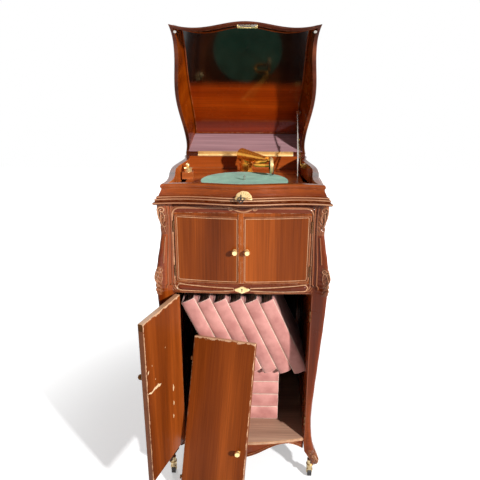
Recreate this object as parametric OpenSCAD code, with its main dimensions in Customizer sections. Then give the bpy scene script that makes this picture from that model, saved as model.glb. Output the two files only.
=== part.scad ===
// Floor-standing gramophone cabinet with its lid raised.
// X runs to the right, Y to the back and Z up; the origin is on the floor under the cabinet's middle.

/* [Carcass] */
// Height of the feet's underside above the floor
foot_z = 62; // [56:1:70]
// Top of the board that closes the record compartment below
shelf_z = 165; // [155:1:180]
// Underside of the rail between the lower and upper doors
lower_rail_z = 748; // [700:1:760]
// Top of that rail
mid_z = 784; // [772:1:800]
// Underside of the rail above the upper doors
top_rail_z = 1025; // [1005:1:1032]
// Top of the corner posts
post_top_z = 1056; // [1050:1:1062]
// Half the clear width between the posts at the lower doors
low_half = 229; // [215:1:232]
// How much less that is at the upper doors
up_step = 9; // [5:0.5:14]
// Distance of the door faces from the middle, towards the front
face_y = 268; // [250:1:272]
// Distance of the back of the carcass from the middle
back_y = 268; // [240:1:274]
// How much further out the posts' corners stand in front than at the sides
corner_lead = 22; // [10:1:26]
// Width of the posts, from the lower doors to the side panels' outer face
post_w = 21; // [18:0.5:22]
// Thickness of the side panels
side_t = 12; // [8:0.5:14]
// Thickness of the back panel
back_t = 10; // [6:0.5:14]
// Depth of each corner post, front to back
post_depth = 70; // [50:1:80]
// Thickness of the rails, front to back
rail_t = 20; // [14:0.5:22]
// Thickness of the shelf and of the divider
board_t = 12; // [9:0.5:14]
// How far the shelf's bowed front lip stands past the door faces
sill_bow = 30; // [15:1:36]

/* [Top case and lid] */
// Thickness of the frame under the top case
frame_t = 16; // [12:0.5:18]
// Height of the turntable deck above the floor
deck_z = 1066; // [1062:0.5:1070]
// Thickness of the deck board
deck_t = 18; // [14:0.5:20]
// Height of the rim that the lid closes on
rim_z = 1119; // [1110:0.5:1125]
// How far the rim's corners stand outside the lower doors
rim_out = 21; // [17:0.5:25]
// Distance of the rim's rear edge behind the middle
rim_back = 277; // [270:1:285]
// Distance of the rim's corners in front of the middle
rim_front = 290; // [280:1:300]
// Thickness of the top case's wall at the rim
case_wall = 18; // [14:0.5:22]
// Height of the closed lid
lid_h = 150; // [135:1:160]
// Depth inside the lid
lid_depth = 118; // [100:1:125]
// Angle at which the lid stands open
lid_open = 55; // [40:1:60]
// Gap between the closed lid and the rim
lid_gap = 2; // [1.6:0.1:3]

/* [Doors] */
// Thickness of the doors
door_t = 20; // [15:0.5:22]
// Gap round each door
door_gap = 0.6; // [0.4:0.1:1.2]
// Gap at the hinged edge, which holds both hinge leaves
hinge_gap = 1.8; // [1.6:0.1:2.4]
// Radius of the hinge knuckles
knuckle_r = 3; // [2.6:0.1:3.2]
// Radius of the hinge pins
pin_r = 1.2; // [1:0.1:1.5]
// Running clearance on pins and shafts
run_gap = 0.05; // [0.03:0.01:0.08]
// Angle at which the lower left door stands open
left_open = 110; // [60:1:120]
// Where the two upper doors meet, from the middle
meet_x = -5; // [-12:1:12]
// Diameter of the door knobs
knob_d = 19; // [15:0.5:24]
// How far the lifted-off right door's foot stands to the left of the leaning albums
lean_left = 135; // [130:0.5:140]
// Turn of that door about the upright
lean_yaw = 13.6; // [8:0.1:18]
// Angle at which that door leans back
lean_back = 19.8; // [17:0.1:20]
// How deep that door's top corner lies between two album spines
lean_in = 7.4; // [6:0.1:8]

/* [Turntable and arm] */
// Diameter of the turntable
platter_d = 304.8; // [250:0.1:306]
// Centre of the turntable
spindle_xy = [2, -68]; // [-80:1:80]
// Height of the felt's top above the deck
platter_rise = 22; // [18:0.5:26]
// Radius of the record spindle
spindle_r = 3.6; // [3.4:0.05:3.7]
// Length of the spindle above the felt
spindle_up = 16; // [10:0.5:22]
// Upright axis that the sound arm swings on
arm_xy = [4, 172]; // [0:1:180]
// Height of the arm's bore line above the deck
arm_rise = 70; // [66:0.5:76]
// Radius of the arm where it leaves its base
arm_r = 26; // [20:0.5:27]
// Radius of the arm at its thin end
arm_tip_r = 9; // [8:0.5:11]
// Where the arm's thin end lies
arm_end = [84, 76]; // [70:1:90]
// Diameter of the sound box
box_d = 60; // [54:0.5:64]
// Centre of the sound box
box_xy = [98, 18]; // [15:1:100]
// Height of the sound box's centre above the deck
box_rise = 58.5; // [55:0.5:62]

/* [Casters] */
// Diameter of a caster wheel
wheel_d = 35; // [30:0.5:38]
// Width of a caster wheel
wheel_w = 14; // [10:0.5:16]
// Casters outside the lower doors
caster_out = 27; // [24:0.5:30]
// Front casters from the middle
caster_front = 280; // [276:1:284]
// Rear casters from the middle
caster_back = 250; // [246:1:252]
// How far each wheel trails behind its swivel
caster_trail = 9; // [6:0.5:11]

/* [Records] */
// Thickness of an album
album_t = 50; // [40:0.5:55]
// Height of an album
album_h = 312; // [280:1:318]
// Depth of an album
album_depth = 300; // [260:1:310]
// Angle at which the upper albums lean
album_lean = 25; // [18:0.5:26]
// Albums in the flat stack
stack_n = 4; // [3:1:4]
// Albums in the leaning row
lean_n = 6; // [4:1:6]
// Front of the stack from the middle
stack_y = -170; // [-180:1:-150]
// Front of the leaning row from the middle
row_y = -200; // [-206:1:-190]

/* [Hidden] */
$fn = 48;

mahogany = "#8c4a26";
dark_wood = "#4a2413";
brass = "#d8b45e";
nickel = "#c9c9c4";
iron = "#3a3a3c";
seat = 0.3;
slack = 0.1;
up_half = low_half - up_step;
side_x = low_half + post_w;
rim_half = low_half + rim_out;
caster_x = low_half + caster_out;
album_pitch = album_t / cos(album_lean) + seat;
row_right = side_x - side_t - seat - album_t * cos(album_lean);
row_left = row_right - (lean_n - 1) * album_pitch;
lean_x = row_left - lean_left;

// How far the posts' outer corners stand outside the lower doors, from the foot up: knee and toe stand out.
outline_z = [
    [foot_z, 48], [72, 56], [84, 60], [95, 60], [110, 51], [127, 43], [150, 36], [shelf_z + 10, 32],
    [216, 28], [250, 26.5], [300, 28], [387, 33.5], [470, 39], [548, 44], [640, 50], [700, 54],
    [750, 58], [800, 60], [840, 58], [875, 51], [915, 41.5], [950, 36], [985, 33.5], [1015, 35],
    [1035, 39], [post_top_z, 46]
];
// Inner, front and side faces of a post below the shelf, where it tapers into the leg.
leg_in = [[foot_z, 29], [80, 27], [95, 22], [106, 12], [118, 3], [shelf_z - board_t, 0]];
leg_front = [[foot_z, 21], [84, 26], [95, 26], [110, 17], [127, 9], [150, 2], [shelf_z + 10, 0]];

// Levels of the posts' rings, with a pair where their inner face steps in above the middle rail.
post_levels = concat([for (e = outline_z) if (e[0] < mid_z) e[0]], [mid_z, mid_z + 1],
    [for (e = outline_z) if (e[0] > mid_z + 1) e[0]]);

// The outline's reach where the corner lies at its stated depth, and the rounding of the corner.
corner_reach = 32;
arris = 14;
leg_deepen = 1.6;
back_corner_in = 30;
front_corner_in = 7;

function mix(a, b, t) = a + (b - a) * t;
function bend(a, b, c, t) = (1 - t) * (1 - t) * a + 2 * t * (1 - t) * b + t * t * c;
function unit(v) = v / norm(v);
function post_x(z) = z > mid_z ? up_half : low_half;

// One level of a front right post, seen from above.
function post_ring(z, corner_y, face) =
    let (reach = lookup(z, outline_z),
        grow = lookup(z, leg_front),
        inner = post_x(z) + lookup(z, leg_in),
        deep = face - post_depth + lookup(z, leg_in) * leg_deepen,
        a = [inner, -(face + grow)],
        c = [low_half + reach, -max(corner_y + reach - corner_reach, face + grow)],
        b = [side_x + grow, -deep],
        ra = arris * unit(a - c),
        rb = arris * unit(b - c))
    concat([[inner, -deep], a], [for (t = [0:0.25:1]) bend(c + ra, c, c + rb, t)], [b]);

// A closed skin over rings that have the same number of points, each end fanned from its middle.
function middle(ring) = [for (p = ring) 1 / len(ring)] * ring;
module skin(rings) {
    n = len(rings[0]);
    last = len(rings) - 1;
    walls = [for (i = [0:last - 1]) for (j = [0:n - 1])
        let (k = (j + 1) % n)
        each [[i * n + j, (i + 1) * n + k, i * n + k], [i * n + j, (i + 1) * n + j, (i + 1) * n + k]]];
    hub = (last + 1) * n;
    ends = [for (j = [0:n - 1])
        let (k = (j + 1) % n)
        each [[j, k, hub], [last * n + k, last * n + j, hub + 1]]];
    polyhedron([each [for (r = rings) each r], middle(rings[0]), middle(rings[last])],
        concat(walls, ends), convexity = 6);
}

// A round tube skin swept along a path, with one radius per point.
module pipe(path, radii, sides) {
    last = len(path) - 1;
    rings = [for (i = [0:last])
        let (d = unit(path[min(i + 1, last)] - path[max(i - 1, 0)]),
            s = unit(cross(d, [0, 0, 1])),
            u = cross(d, s))
        [for (j = [0:sides - 1]) path[i] + radii[i] * (cos(360 * j / sides) * s + sin(360 * j / sides) * u)]];
    skin(rings);
}

// Plan of the rim: serpentine front and sides, flat back. A positive grow moves front and sides out,
// a negative one moves all four in.
side_trough = 0.78;
front_trough = 0.68;
side_bulge = 18.5;
side_hollow = 8.5;
front_bulge = 22;
front_hollow = 12;
function swell(u, trough, high, tip) = abs(u) < trough
    ? high * (1 + cos(180 * u / trough)) / 2
    : tip * pow((abs(u) - trough) / (1 - trough), 2);
function rim_x(y) =
    let (mid = (rim_back - rim_front) / 2, u = (y - mid) / ((rim_back + rim_front) / 2))
    rim_half - side_hollow + swell(u, side_trough, side_bulge, side_hollow);
function rim_y(x) = rim_front - front_hollow + swell(x / rim_half, front_trough, front_bulge, front_hollow);
function grown_y(y, grow) = y < 0 ? y * (1 + grow / rim_front) : y * (1 + min(grow, 0) / rim_back);
function plan(grow) =
    let (ys = [for (i = [0:13]) mix(-rim_front, rim_back, i / 13)],
        xs = [for (i = [1:19]) mix(-rim_half, rim_half, i / 20)])
    concat(
        [for (x = xs) [x * (1 + grow / rim_half), -(rim_y(x) + grow)]],
        [for (y = ys) [rim_x(y) + grow, grown_y(y, grow)]],
        [for (i = [13:-1:0]) [-(rim_x(ys[i]) + grow), grown_y(ys[i], grow)]]);
function level(grow, z) = [for (p = plan(grow)) [p[0], p[1], z]];
module slab(grow, z0, z1) {
    translate([0, 0, z0]) linear_extrude(z1 - z0) polygon(plan(grow));
}

// Bowed front line of the shelf and the apron.
function sill_y(x) = face_y + sill_bow * cos(90 * x / low_half);
// Lower edge of the front apron.
apron_shoulder = 73;
apron_up = 35;
apron_top = 4;
apron_peak = low_half - apron_shoulder;
apron_low = foot_z + apron_up;
apron_high = shelf_z - board_t - apron_top;
apron_drop = 33;
function apron_z(x) = abs(x) < apron_peak
    ? apron_low + (apron_high - apron_low) * (1 - cos(180 * abs(x) / apron_peak)) / 2
    : apron_high - apron_drop * pow((abs(x) - apron_peak) / (low_half - apron_peak), 2);

module box(low, high) {
    translate(low) cube(high - low);
}
module rod_x(r, x0, x1, y, z) {
    translate([x0, y, z]) rotate([0, 90, 0]) cylinder(r = r, h = x1 - x0);
}
module rod_y(r, y0, y1, x, z) {
    translate([x, y0, z]) rotate([-90, 0, 0]) cylinder(r = r, h = y1 - y0);
}
module rod_z(r, z0, z1, p) {
    translate([p[0], p[1], z0]) cylinder(r = r, h = z1 - z0);
}

/* Casters */
socket_r = 11;
socket_deep = 20;
stem_r = 4.5;
horn_r = 9;
fork_t = 2.5;
fork_gap = 0.5;
axle_r = 2.5;
caster_places = [[-caster_x, -caster_front], [caster_x, -caster_front], [-caster_x, caster_back],
    [caster_x, caster_back]];

module caster_hole(p) {
    rod_z(socket_r + slack, foot_z - 1, foot_z + socket_deep + slack, p);
}
module corner_post(side) {
    color(mahogany) difference() {
        mirror([side > 0 ? 0 : 1, 0, 0])
            skin([for (z = post_levels)
                [for (p = post_ring(z, face_y + corner_lead - front_corner_in, face_y)) [each p, z]]]);
        caster_hole([side * caster_x, -caster_front]);
    }
}
module post_front_left() corner_post(-1);
module post_front_right() corner_post(1);
module rear_posts() {
    for (side = [-1, 1])
        color(mahogany) difference() {
            mirror([side > 0 ? 0 : 1, 0, 0]) mirror([0, 1, 0])
                skin([for (z = post_levels)
                    [for (p = post_ring(z, back_y - back_corner_in, back_y)) [each p, z]]]);
            caster_hole([side * caster_x, caster_back]);
        }
}
module side_panels() {
    front = -(face_y - post_depth);
    rear = back_y - post_depth;
    for (side = [-1, 1])
        color(mahogany) difference() {
            box([side > 0 ? side_x - side_t : -side_x, front, shelf_z - board_t],
                [side > 0 ? side_x : side_t - side_x, rear, post_top_z]);
            rod_x(winding_r + 3, side_x - side_t - 1, side_x + 1, barrel_y, barrel_z);
        }
}
module back_panel() {
    color(dark_wood) union() {
        box([-low_half, back_y - back_t, shelf_z], [low_half, back_y, mid_z]);
        box([-up_half, back_y - back_t, mid_z], [up_half, back_y, post_top_z]);
    }
}
module bottom_board() {
    xs = [for (i = [0:20]) mix(-low_half, low_half, i / 20)];
    color(mahogany) union() {
        translate([0, 0, shelf_z - board_t]) linear_extrude(board_t)
            polygon(concat([for (x = xs) [x, -sill_y(x)]], [[low_half, back_y], [-low_half, back_y]]));
        box([-side_x + side_t, -face_y + post_depth, shelf_z - board_t],
            [side_x - side_t, back_y - post_depth, shelf_z]);
    }
}
side_arch = 24;
side_scallop = 12;
module aprons() {
    xs = [for (i = [0:36]) mix(-low_half, low_half, i / 36)];
    top = shelf_z - board_t;
    back = [-(face_y - post_depth), back_y - post_depth];
    color(mahogany) intersection() {
        translate([0, 0, apron_low - 5]) linear_extrude(top - apron_low + 5) polygon(concat(
            [for (x = xs) [x, 4 - sill_y(x)]],
            [for (i = [36:-1:0]) [xs[i], 4 - sill_y(xs[i]) + rail_t]]));
        rotate([90, 0, 0]) linear_extrude(2 * (face_y + sill_bow), center = true) polygon(concat(
            [for (x = xs) [x, min(apron_z(x), apron_high)]], [[low_half, top], [-low_half, top]]));
    }
    for (side = [-1, 1])
        color(mahogany) translate([side > 0 ? side_x - side_t : -side_x, 0, 0]) rotate([90, 0, 90])
            linear_extrude(side_t) polygon(concat([[back[1], top], [back[0], top]],
                [for (i = [0:12]) let (y = mix(back[0], back[1], i / 12))
                    [y, top - side_arch - side_scallop * cos(30 * i)]]));
    color(mahogany) box([-low_half, back_y - board_t, top - 2 * side_arch], [low_half, back_y, top]);
}

/* Rails and doors */
bead_r = 3;
bead_down = 9;
rail_bead_z = [mid_z - 5, lower_rail_z + 6];
module lower_rail() {
    color(mahogany) union() {
        box([-low_half, -face_y, lower_rail_z], [low_half, rail_t - face_y, mid_z]);
        for (z = rail_bead_z)
            rod_x(bead_r, -low_half, low_half, -face_y, z);
    }
}
module divider_board() {
    color(dark_wood)
        box([-low_half, rail_t - face_y, mid_z - board_t], [low_half, back_y - back_t, mid_z]);
}
module top_rail() {
    color(mahogany) union() {
        box([-up_half, -face_y, top_rail_z], [up_half, rail_t - face_y, post_top_z]);
        rod_x(bead_r, -up_half, up_half, -face_y, post_top_z - bead_down);
    }
}

// Hinges: leaves lie in the gap at the hinged edge, knuckles stand just proud of the face.
leaf_t = 0.7;
leaf_w = 18;
knuckle_h = 12;
axis_out = 3.6;
function hinge_x(half) = half - hinge_gap / 2;
upper_hinge_in = 45;
lower_hinge_in = 80;
upper_hinges = [mid_z + upper_hinge_in, top_rail_z - upper_hinge_in];
lower_hinges = [shelf_z + lower_hinge_in, lower_rail_z - lower_hinge_in];

// Case knuckles above and below the door's own, with the pin through all three.
module case_knuckles(z) {
    for (s = [-1, 1])
        translate([0, 0, z + s * (knuckle_h + seat) - knuckle_h / 2]) cylinder(r = knuckle_r, h = knuckle_h);
    translate([0, 0, z - 1.5 * knuckle_h]) cylinder(r = pin_r, h = 3 * knuckle_h);
}
// Case half of one door's hinges, for the right side of the cabinet.
module case_leaves(half, heights) {
    for (z = heights)
        color(brass) union() {
            translate([hinge_x(half), -face_y - axis_out, 0]) case_knuckles(z);
            for (s = [-1, 1])
                box([half - leaf_t, -face_y - axis_out, z + s * knuckle_h - knuckle_h / 2 + s * seat],
                    [half, leaf_w - face_y, z + s * knuckle_h + knuckle_h / 2 + s * seat]);
        }
}
// Door half of the hinges.
module door_leaves(half, heights) {
    for (z = heights)
        color(brass) difference() {
            union() {
                translate([hinge_x(half), -face_y - axis_out, z - knuckle_h / 2])
                    cylinder(r = knuckle_r, h = knuckle_h);
                box([half - hinge_gap, -face_y - axis_out, z - knuckle_h / 2],
                    [half - hinge_gap + leaf_t, leaf_w - face_y, z + knuckle_h / 2]);
            }
            translate([hinge_x(half), -face_y - axis_out, z - knuckle_h])
                cylinder(r = pin_r + run_gap, h = 2 * knuckle_h);
        }
}
knob_neck_r = 4.2;
knob_foot_r = 6.3;
knob_belly = 7;
knob_out = 18;
module knob(x, z) {
    color("#e2c890") union() {
        rod_y(knob_neck_r, -face_y - knob_out, -face_y, x, z);
        rod_y(knob_foot_r, -face_y - 2, -face_y, x, z);
        translate([x, -face_y - knob_out, z]) rotate([90, 0, 0]) rotate_extrude()
            intersection() {
                circle(r = knob_d / 2);
                translate([0, -knob_belly]) square([knob_d, 2 * knob_belly]);
            }
    }
}
// A right-hand door from x0 to its hinged edge, with a half bead along its free edge. Behind the bead
// that edge is cut back, so that the door clears the other one as it opens.
bead_w = 8;
bead_up = 4;
bead_root = 1;
edge_back = 2;
module door_board(x0, half, z0, z1, bead) {
    hinged = half - hinge_gap;
    cut = bead > 0 ? edge_back : 0;
    color(mahogany) translate([0, 0, z0 + door_gap]) linear_extrude(z1 - z0 - 2 * door_gap) union() {
        polygon([[x0, -face_y], [hinged, -face_y], [hinged, door_t - face_y], [x0 + cut, door_t - face_y],
            [x0, bead_root - face_y]]);
        if (bead > 0)
            translate([x0, -face_y - bead_up]) square([bead, bead_up + bead_root]);
    }
}
module mirror_x() mirror([1, 0, 0]) children();
module upper_right_door() door_board(meet_x + door_gap / 2, up_half, mid_z, top_rail_z, bead_w);
module upper_left_door() mirror_x() door_board(-meet_x + door_gap / 2, up_half, mid_z, top_rail_z, bead_w);
knob_in = 20;
upper_knob_up = 113;
upper_knob_z = mid_z + upper_knob_up;
lower_knob_down = 203;
module upper_right_fittings() {
    knob(meet_x + knob_in, upper_knob_z);
    door_leaves(up_half, upper_hinges);
}
module upper_left_fittings() {
    mirror_x() {
        knob(-meet_x + knob_in, upper_knob_z);
        door_leaves(up_half, upper_hinges);
    }
}
lower_knob_in = 28;
strike_h = 23;
strike_t = 1;
strike_edge = 3;
// The lower doors meet in the middle, with room for both strike plates.
free_edge = door_gap / 2 + strike_t + 0.2;
module strike_plate() {
    z = lower_rail_z - door_gap;
    color(brass) box([free_edge - strike_t, strike_edge - face_y, z - strike_h],
        [free_edge, door_t - strike_edge - face_y, z]);
}
module lower_board() door_board(free_edge, low_half, shelf_z, lower_rail_z, 0);
module lower_brass() {
    knob(lower_knob_in, lower_rail_z - lower_knob_down);
    door_leaves(low_half, lower_hinges);
    strike_plate();
}
// Swings the left lower door about its hinge pins.
module left_swing() {
    pivot = [-hinge_x(low_half), -face_y - axis_out, 0];
    translate(pivot) rotate([0, 0, -left_open]) translate(-pivot) mirror_x() children();
}
// Stands the lifted-off right door on its top edge, leaning back.
module leaning() {
    lift = door_t * sin(lean_back) + seat - door_gap;
    top = lower_rail_z - shelf_z - door_gap;
    reach = cos(lean_yaw) * (door_t * cos(lean_back) + top * sin(lean_back)) - hinge_gap * sin(lean_yaw);
    translate([lean_x, row_y + lean_in - seat - reach, lift])
        rotate([0, 0, -lean_yaw]) rotate([-lean_back, 0, 0])
        translate([low_half, face_y, lower_rail_z]) rotate([0, 180, 0]) children();
}
module lower_left_door() left_swing() lower_board();
module lower_left_fittings() left_swing() lower_brass();
module lower_right_door() leaning() lower_board();
module lower_right_fittings() leaning() lower_brass();

/* Top case */
// Each profile step is how far it stands out from the rim, and its height.
moulding_profile = [[6, 0], [18, 2], [24, 6], [24, 10], [20, frame_t - 3], [15, frame_t]];
case_foot = post_top_z + frame_t;
case_profile = [[15, case_foot], [8, case_foot + 5], [3, case_foot + 12], [0, case_foot + 20],
    [-2, case_foot + 26], [3, case_foot + 28], [5, rim_z - 12], [5, rim_z - 5], [2, rim_z]];
opening_in = [36, 46, 25];
opening_half = rim_half - opening_in[0];
opening_front = rim_front - opening_in[1];
opening_back = rim_back - opening_in[2];
module base_moulding() {
    top = case_foot;
    color(mahogany) difference() {
        skin([for (e = moulding_profile) level(e[0], post_top_z + e[1])]);
        slab(-case_wall, deck_z, top + 1);
        box([-opening_half, -opening_front, post_top_z - 1], [opening_half, opening_back, top + 1]);
    }
}
module top_case() {
    color(mahogany) difference() {
        skin([for (e = case_profile) level(e[0], e[1])]);
        slab(-case_wall, case_foot - 1, rim_z + 1);
        rod_y(lock_r + slack, -rim_front - 40, -rim_front + 40, lock_x, lock_z);
    }
}
cleat_y = [-150, 100];
cleat_w = 22;
cleat_t = 20;
spindle_hole_r = 10;
module motor_board() {
    color(dark_wood) difference() {
        box([-opening_half + slack, -opening_front + slack, deck_z - deck_t],
            [opening_half - slack, opening_back - slack, deck_z]);
        rod_z(spindle_hole_r, deck_z - deck_t - 1, deck_z + 1, spindle_xy);
        rod_z(throat_r + throat_wall, deck_z - deck_t - 1, deck_z + 1, arm_xy);
        rod_z(brake_pin_r + run_gap, deck_z - 12, deck_z + 1, brake_xy);
        box([stay_x - stay_slot_w, stay_slot_y[0], deck_z - deck_t - 1],
            [stay_x + stay_slot_w, stay_slot_y[1], deck_z + 1]);
    }
    for (side = [-1, 1])
        color(dark_wood) box([side > 0 ? opening_half - cleat_w : side_t - side_x, cleat_y[0],
            deck_z - deck_t - cleat_t],
            [side > 0 ? side_x - side_t : cleat_w - opening_half, cleat_y[1], deck_z - deck_t]);
}

/* Lid, drawn closed and then swung up */
lid_profile = [[2, 0], [3, 10], [2, 18], [-4, 22], [-7, 45], [-14, 70], [-26, 92], [-42, 110], [-46, 116],
    [-50, 130], [-62, 140], [-90, 146], [-120, 150]];
lid_wall = 14;
lid_inside = [[-18, 30], [-28, 60], [-42, 90], [-56, 110], [-62, 118]];
lid_pin_r = 2;
lid_knuckle_r = 4;
lid_axis = [rim_back + lid_knuckle_r + 1, rim_z + lid_gap / 2];
module lid_swing() {
    translate([0, lid_axis[0], lid_axis[1]]) rotate([-lid_open, 0, 0])
        translate([0, -lid_axis[0], -lid_axis[1]]) children();
}
// Profile heights run from the lid's lower edge, and are spread over the height that the lid has.
function lid_levels(profile, high) =
    let (last = profile[len(profile) - 1][1])
    [for (e = profile) level(e[0], rim_z + lid_gap + e[1] * (high - lid_gap) / last)];
module lid_cavity() {
    skin(concat([level(-lid_wall, rim_z - 1)], lid_levels(lid_inside, lid_depth)));
}
module lid_shell() {
    color(mahogany) lid_swing() difference() {
        skin(lid_levels(lid_profile, lid_h));
        lid_cavity();
    }
}
panel_t = 5;
panel_in = -66;
module lid_panel() {
    top = rim_z + lid_depth - slack;
    color(dark_wood) lid_swing() slab(panel_in, top - panel_t, top);
}
strike_w = 60;
strike_in = 6;
strike_x = 8;
bumper_in = [22, 26];
bumper_xy = [rim_half - bumper_in[0], bumper_in[1] - rim_front];
bumper_r = 5;
module lid_fittings() {
    under = rim_z + lid_gap;
    lid_swing() {
        color(nickel) difference() {
            box([strike_x - strike_w / 2, strike_in - rim_front - 4, under - 1.2],
                [strike_x + strike_w / 2, strike_in - rim_front + 3, under]);
            box([strike_x - 11, strike_in - rim_front - 2, under - 2],
                [strike_x + 11, strike_in - rim_front + 1, under + 1]);
        }
        for (side = [-1, 1])
            color(iron) rod_z(bumper_r, rim_z + seat, under, [side * bumper_xy[0], bumper_xy[1]]);
        color(brass) intersection() {
            union() {
                box([stay_x + stay_r + 0.5, stay_pivot[0] - 9, stay_pivot[1] - 9],
                    [stay_x + 20, stay_pivot[0] + 9, stay_pivot[1] + 9]);
                rod_x(stay_stud_r, stay_x - 4, stay_x + 4, stay_pivot[0], stay_pivot[1]);
            }
            lid_cavity();
        }
    }
}
// Long lid hinge: thin leaves lie on the rim and under the lid, and the knuckles stand behind both.
lid_hinge_in = 53.5;
lid_hinge_w = 2 * (rim_half - lid_hinge_in);
lid_knuckles = 9;
lid_leaf_t = 0.8;
lid_leaf_w = 16;
function knuckle_span(i) =
    let (pitch = lid_hinge_w / lid_knuckles)
    [i * pitch - lid_hinge_w / 2 + seat / 2, (i + 1) * pitch - lid_hinge_w / 2 - seat / 2];
module lid_leaf(first, z) {
    edge = rim_back + 0.6;
    box([-lid_hinge_w / 2, edge - lid_leaf_w, z], [lid_hinge_w / 2, edge, z + lid_leaf_t]);
    for (i = [first:2:lid_knuckles - 1]) let (span = knuckle_span(i)) {
        rod_x(lid_knuckle_r, span[0], span[1], lid_axis[0], lid_axis[1]);
        box([span[0], edge - 1, z], [span[1], lid_axis[0] - lid_pin_r - 0.5, z + lid_leaf_t]);
    }
}
module lid_hinge_leaf() {
    color(brass) lid_swing() difference() {
        lid_leaf(1, rim_z + lid_gap - lid_leaf_t);
        rod_x(lid_pin_r + run_gap, -rim_half, rim_half, lid_axis[0], lid_axis[1]);
    }
}
module case_hinges() {
    color(brass) union() {
        lid_leaf(0, rim_z);
        rod_x(lid_pin_r, -lid_hinge_w / 2, lid_hinge_w / 2, lid_axis[0], lid_axis[1]);
    }
    case_leaves(up_half, upper_hinges);
    case_leaves(low_half, lower_hinges);
    mirror_x() case_leaves(up_half, upper_hinges);
    mirror_x() case_leaves(low_half, lower_hinges);
}

/* Lid stay: a rod from the lid that slides through a slot in the deck, and an arm on the case wall. */
stay_in = 44.5;
stay_x = rim_half - stay_in;
stay_pivot = [119, rim_z + 75];
stay_len = 262;
stay_tilt = 26.7;
stay_r = 3;
stay_stud_r = 2;
stay_eye_r = 6;
stay_slot_w = 4;
stay_slot_y = [116, 147];
arm_pivot = [100, rim_z - 7];
arm_stay_len = 128;
arm_stay_up = 40;
arm_stay_x = stay_x + stay_r + 1.5;
function swung(p) =
    let (r = p - lid_axis, c = cos(lid_open), n = sin(lid_open))
    lid_axis + [r[0] * c + r[1] * n, r[1] * c - r[0] * n];
module stay_rod() {
    p = swung(stay_pivot);
    color(nickel) difference() {
        union() {
            translate([stay_x, p[0], p[1]]) rotate([180 - stay_tilt, 0, 0])
                cylinder(r = stay_r, h = stay_len);
            rod_x(stay_eye_r, stay_x - 2.2, stay_x + 2.2, p[0], p[1]);
        }
        rod_x(stay_stud_r + run_gap, stay_x - 9, stay_x + 9, p[0], p[1]);
    }
}
module stay_arm() {
    at = [arm_stay_x, arm_pivot[0], arm_pivot[1]];
    color(brass) translate(at) rotate([arm_stay_up, 0, 0]) difference() {
        union() {
            box([0, 0, -3], [3, arm_stay_len, 3]);
            rod_x(5, 0, 3, 0, 0);
            rod_x(4.5, 0, 3, arm_stay_len, 0);
        }
        rod_x(stay_stud_r + run_gap, -1, 4, 0, 0);
    }
}
module stay_bracket() {
    wall = rim_x(arm_pivot[0]) - case_wall;
    color(brass) difference() {
        union() {
            box([arm_stay_x + 3.3, arm_pivot[0] - 9, arm_pivot[1] - 12],
                [wall + 2, arm_pivot[0] + 9, arm_pivot[1] + 5]);
            rod_x(stay_stud_r, arm_stay_x - 1, arm_stay_x + 4, arm_pivot[0], arm_pivot[1]);
        }
        difference() {
            slab(20, post_top_z, rim_z + 2);
            slab(-case_wall, post_top_z - 1, rim_z + 3);
        }
    }
}

/* Lock and keyholes */
lock_x = -4;
lock_up = 17;
lock_z = case_foot + lock_up;
lock_r = 5;
lock_face = rim_front + 19.6;
key_r = 1.6;
module lid_lock() {
    color(brass) difference() {
        union() {
            rod_y(lock_r, -lock_face, -rim_front + 14, lock_x, lock_z);
            translate([lock_x, -lock_face + 2, lock_z - 11]) rotate([90, 0, 0]) linear_extrude(2)
                intersection() {
                    circle(r = 24);
                    translate([-24, 0]) square([48, 24]);
                }
        }
        rod_y(key_r + run_gap, -lock_face - 3, -rim_front, lock_x, lock_z);
    }
}
key_out = 14;
module lid_key() {
    color(nickel) union() {
        rod_y(key_r, -lock_face - key_out, -lock_face + 12, lock_x, lock_z);
        translate([lock_x, -lock_face - key_out - 8, lock_z]) rotate([0, 90, 0])
            rotate_extrude() translate([8, 0]) circle(r = 1.8, $fn = 24);
    }
}
plate_w = 62;
plate_h = 25;
module keyhole_plate() {
    color(brass) difference() {
        translate([lock_x, -face_y, (lower_rail_z + mid_z) / 2]) rotate([90, 0, 0])
            linear_extrude(bead_r + 1.2) difference() {
            polygon([[-plate_w / 2, 0], [-plate_w / 4, plate_h * 0.34], [0, plate_h / 2],
                [plate_w / 4, plate_h * 0.34], [plate_w / 2, 0], [plate_w / 4, -plate_h * 0.3],
                [0, -plate_h / 2], [-plate_w / 4, -plate_h * 0.3]]);
            translate([0, 2]) circle(r = 2.6);
            translate([-1.2, -5]) square([2.4, 6]);
        }
        for (z = rail_bead_z)
            rod_x(bead_r + slack, -plate_w, plate_w, -face_y, z);
    }
}

/* Motor */
barrel_lead = 46;
barrel_down = 68;
barrel_y = spindle_xy[1] - barrel_lead;
barrel_z = deck_z - barrel_down;
winding_r = 6;
spring_r = 34;
gear_tip_r = 38;
barrel_half = 38;
worm_r = 5;
worm_half = 20;
hub_r = 4;
spindle_tip = 1.5;
wheel_down = 112;
wheel_z = deck_z - wheel_down;
wheel_r = 24;
gov_worm_r = 4;
gov_shaft_r = 2;
gov_disc_r = 13;
gov_x = 40;
weight_out = 9;
spring_half = 10;
spring_w = 3;
spring_leaf_t = 0.8;
gov_y = spindle_xy[1] + wheel_r + gov_worm_r + seat;
frame_x = 60;
frame_lead = 90;
frame_trail = 88;
frame_y = [spindle_xy[1] - frame_lead, spindle_xy[1] + frame_trail];
frame_plate_t = 6;
cheek_t = 5;
cheek_lead = 20;
cheek_up = 16;
bridge_half = 8;
bridge_z = [wheel_z - 13, wheel_z - 9];
module winding_escutcheon() {
    color(brass) difference() {
        rod_x(19, side_x, side_x + 2, barrel_y, barrel_z);
        rod_x(winding_r + 1, side_x - 1, side_x + 3, barrel_y, barrel_z);
    }
}
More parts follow.
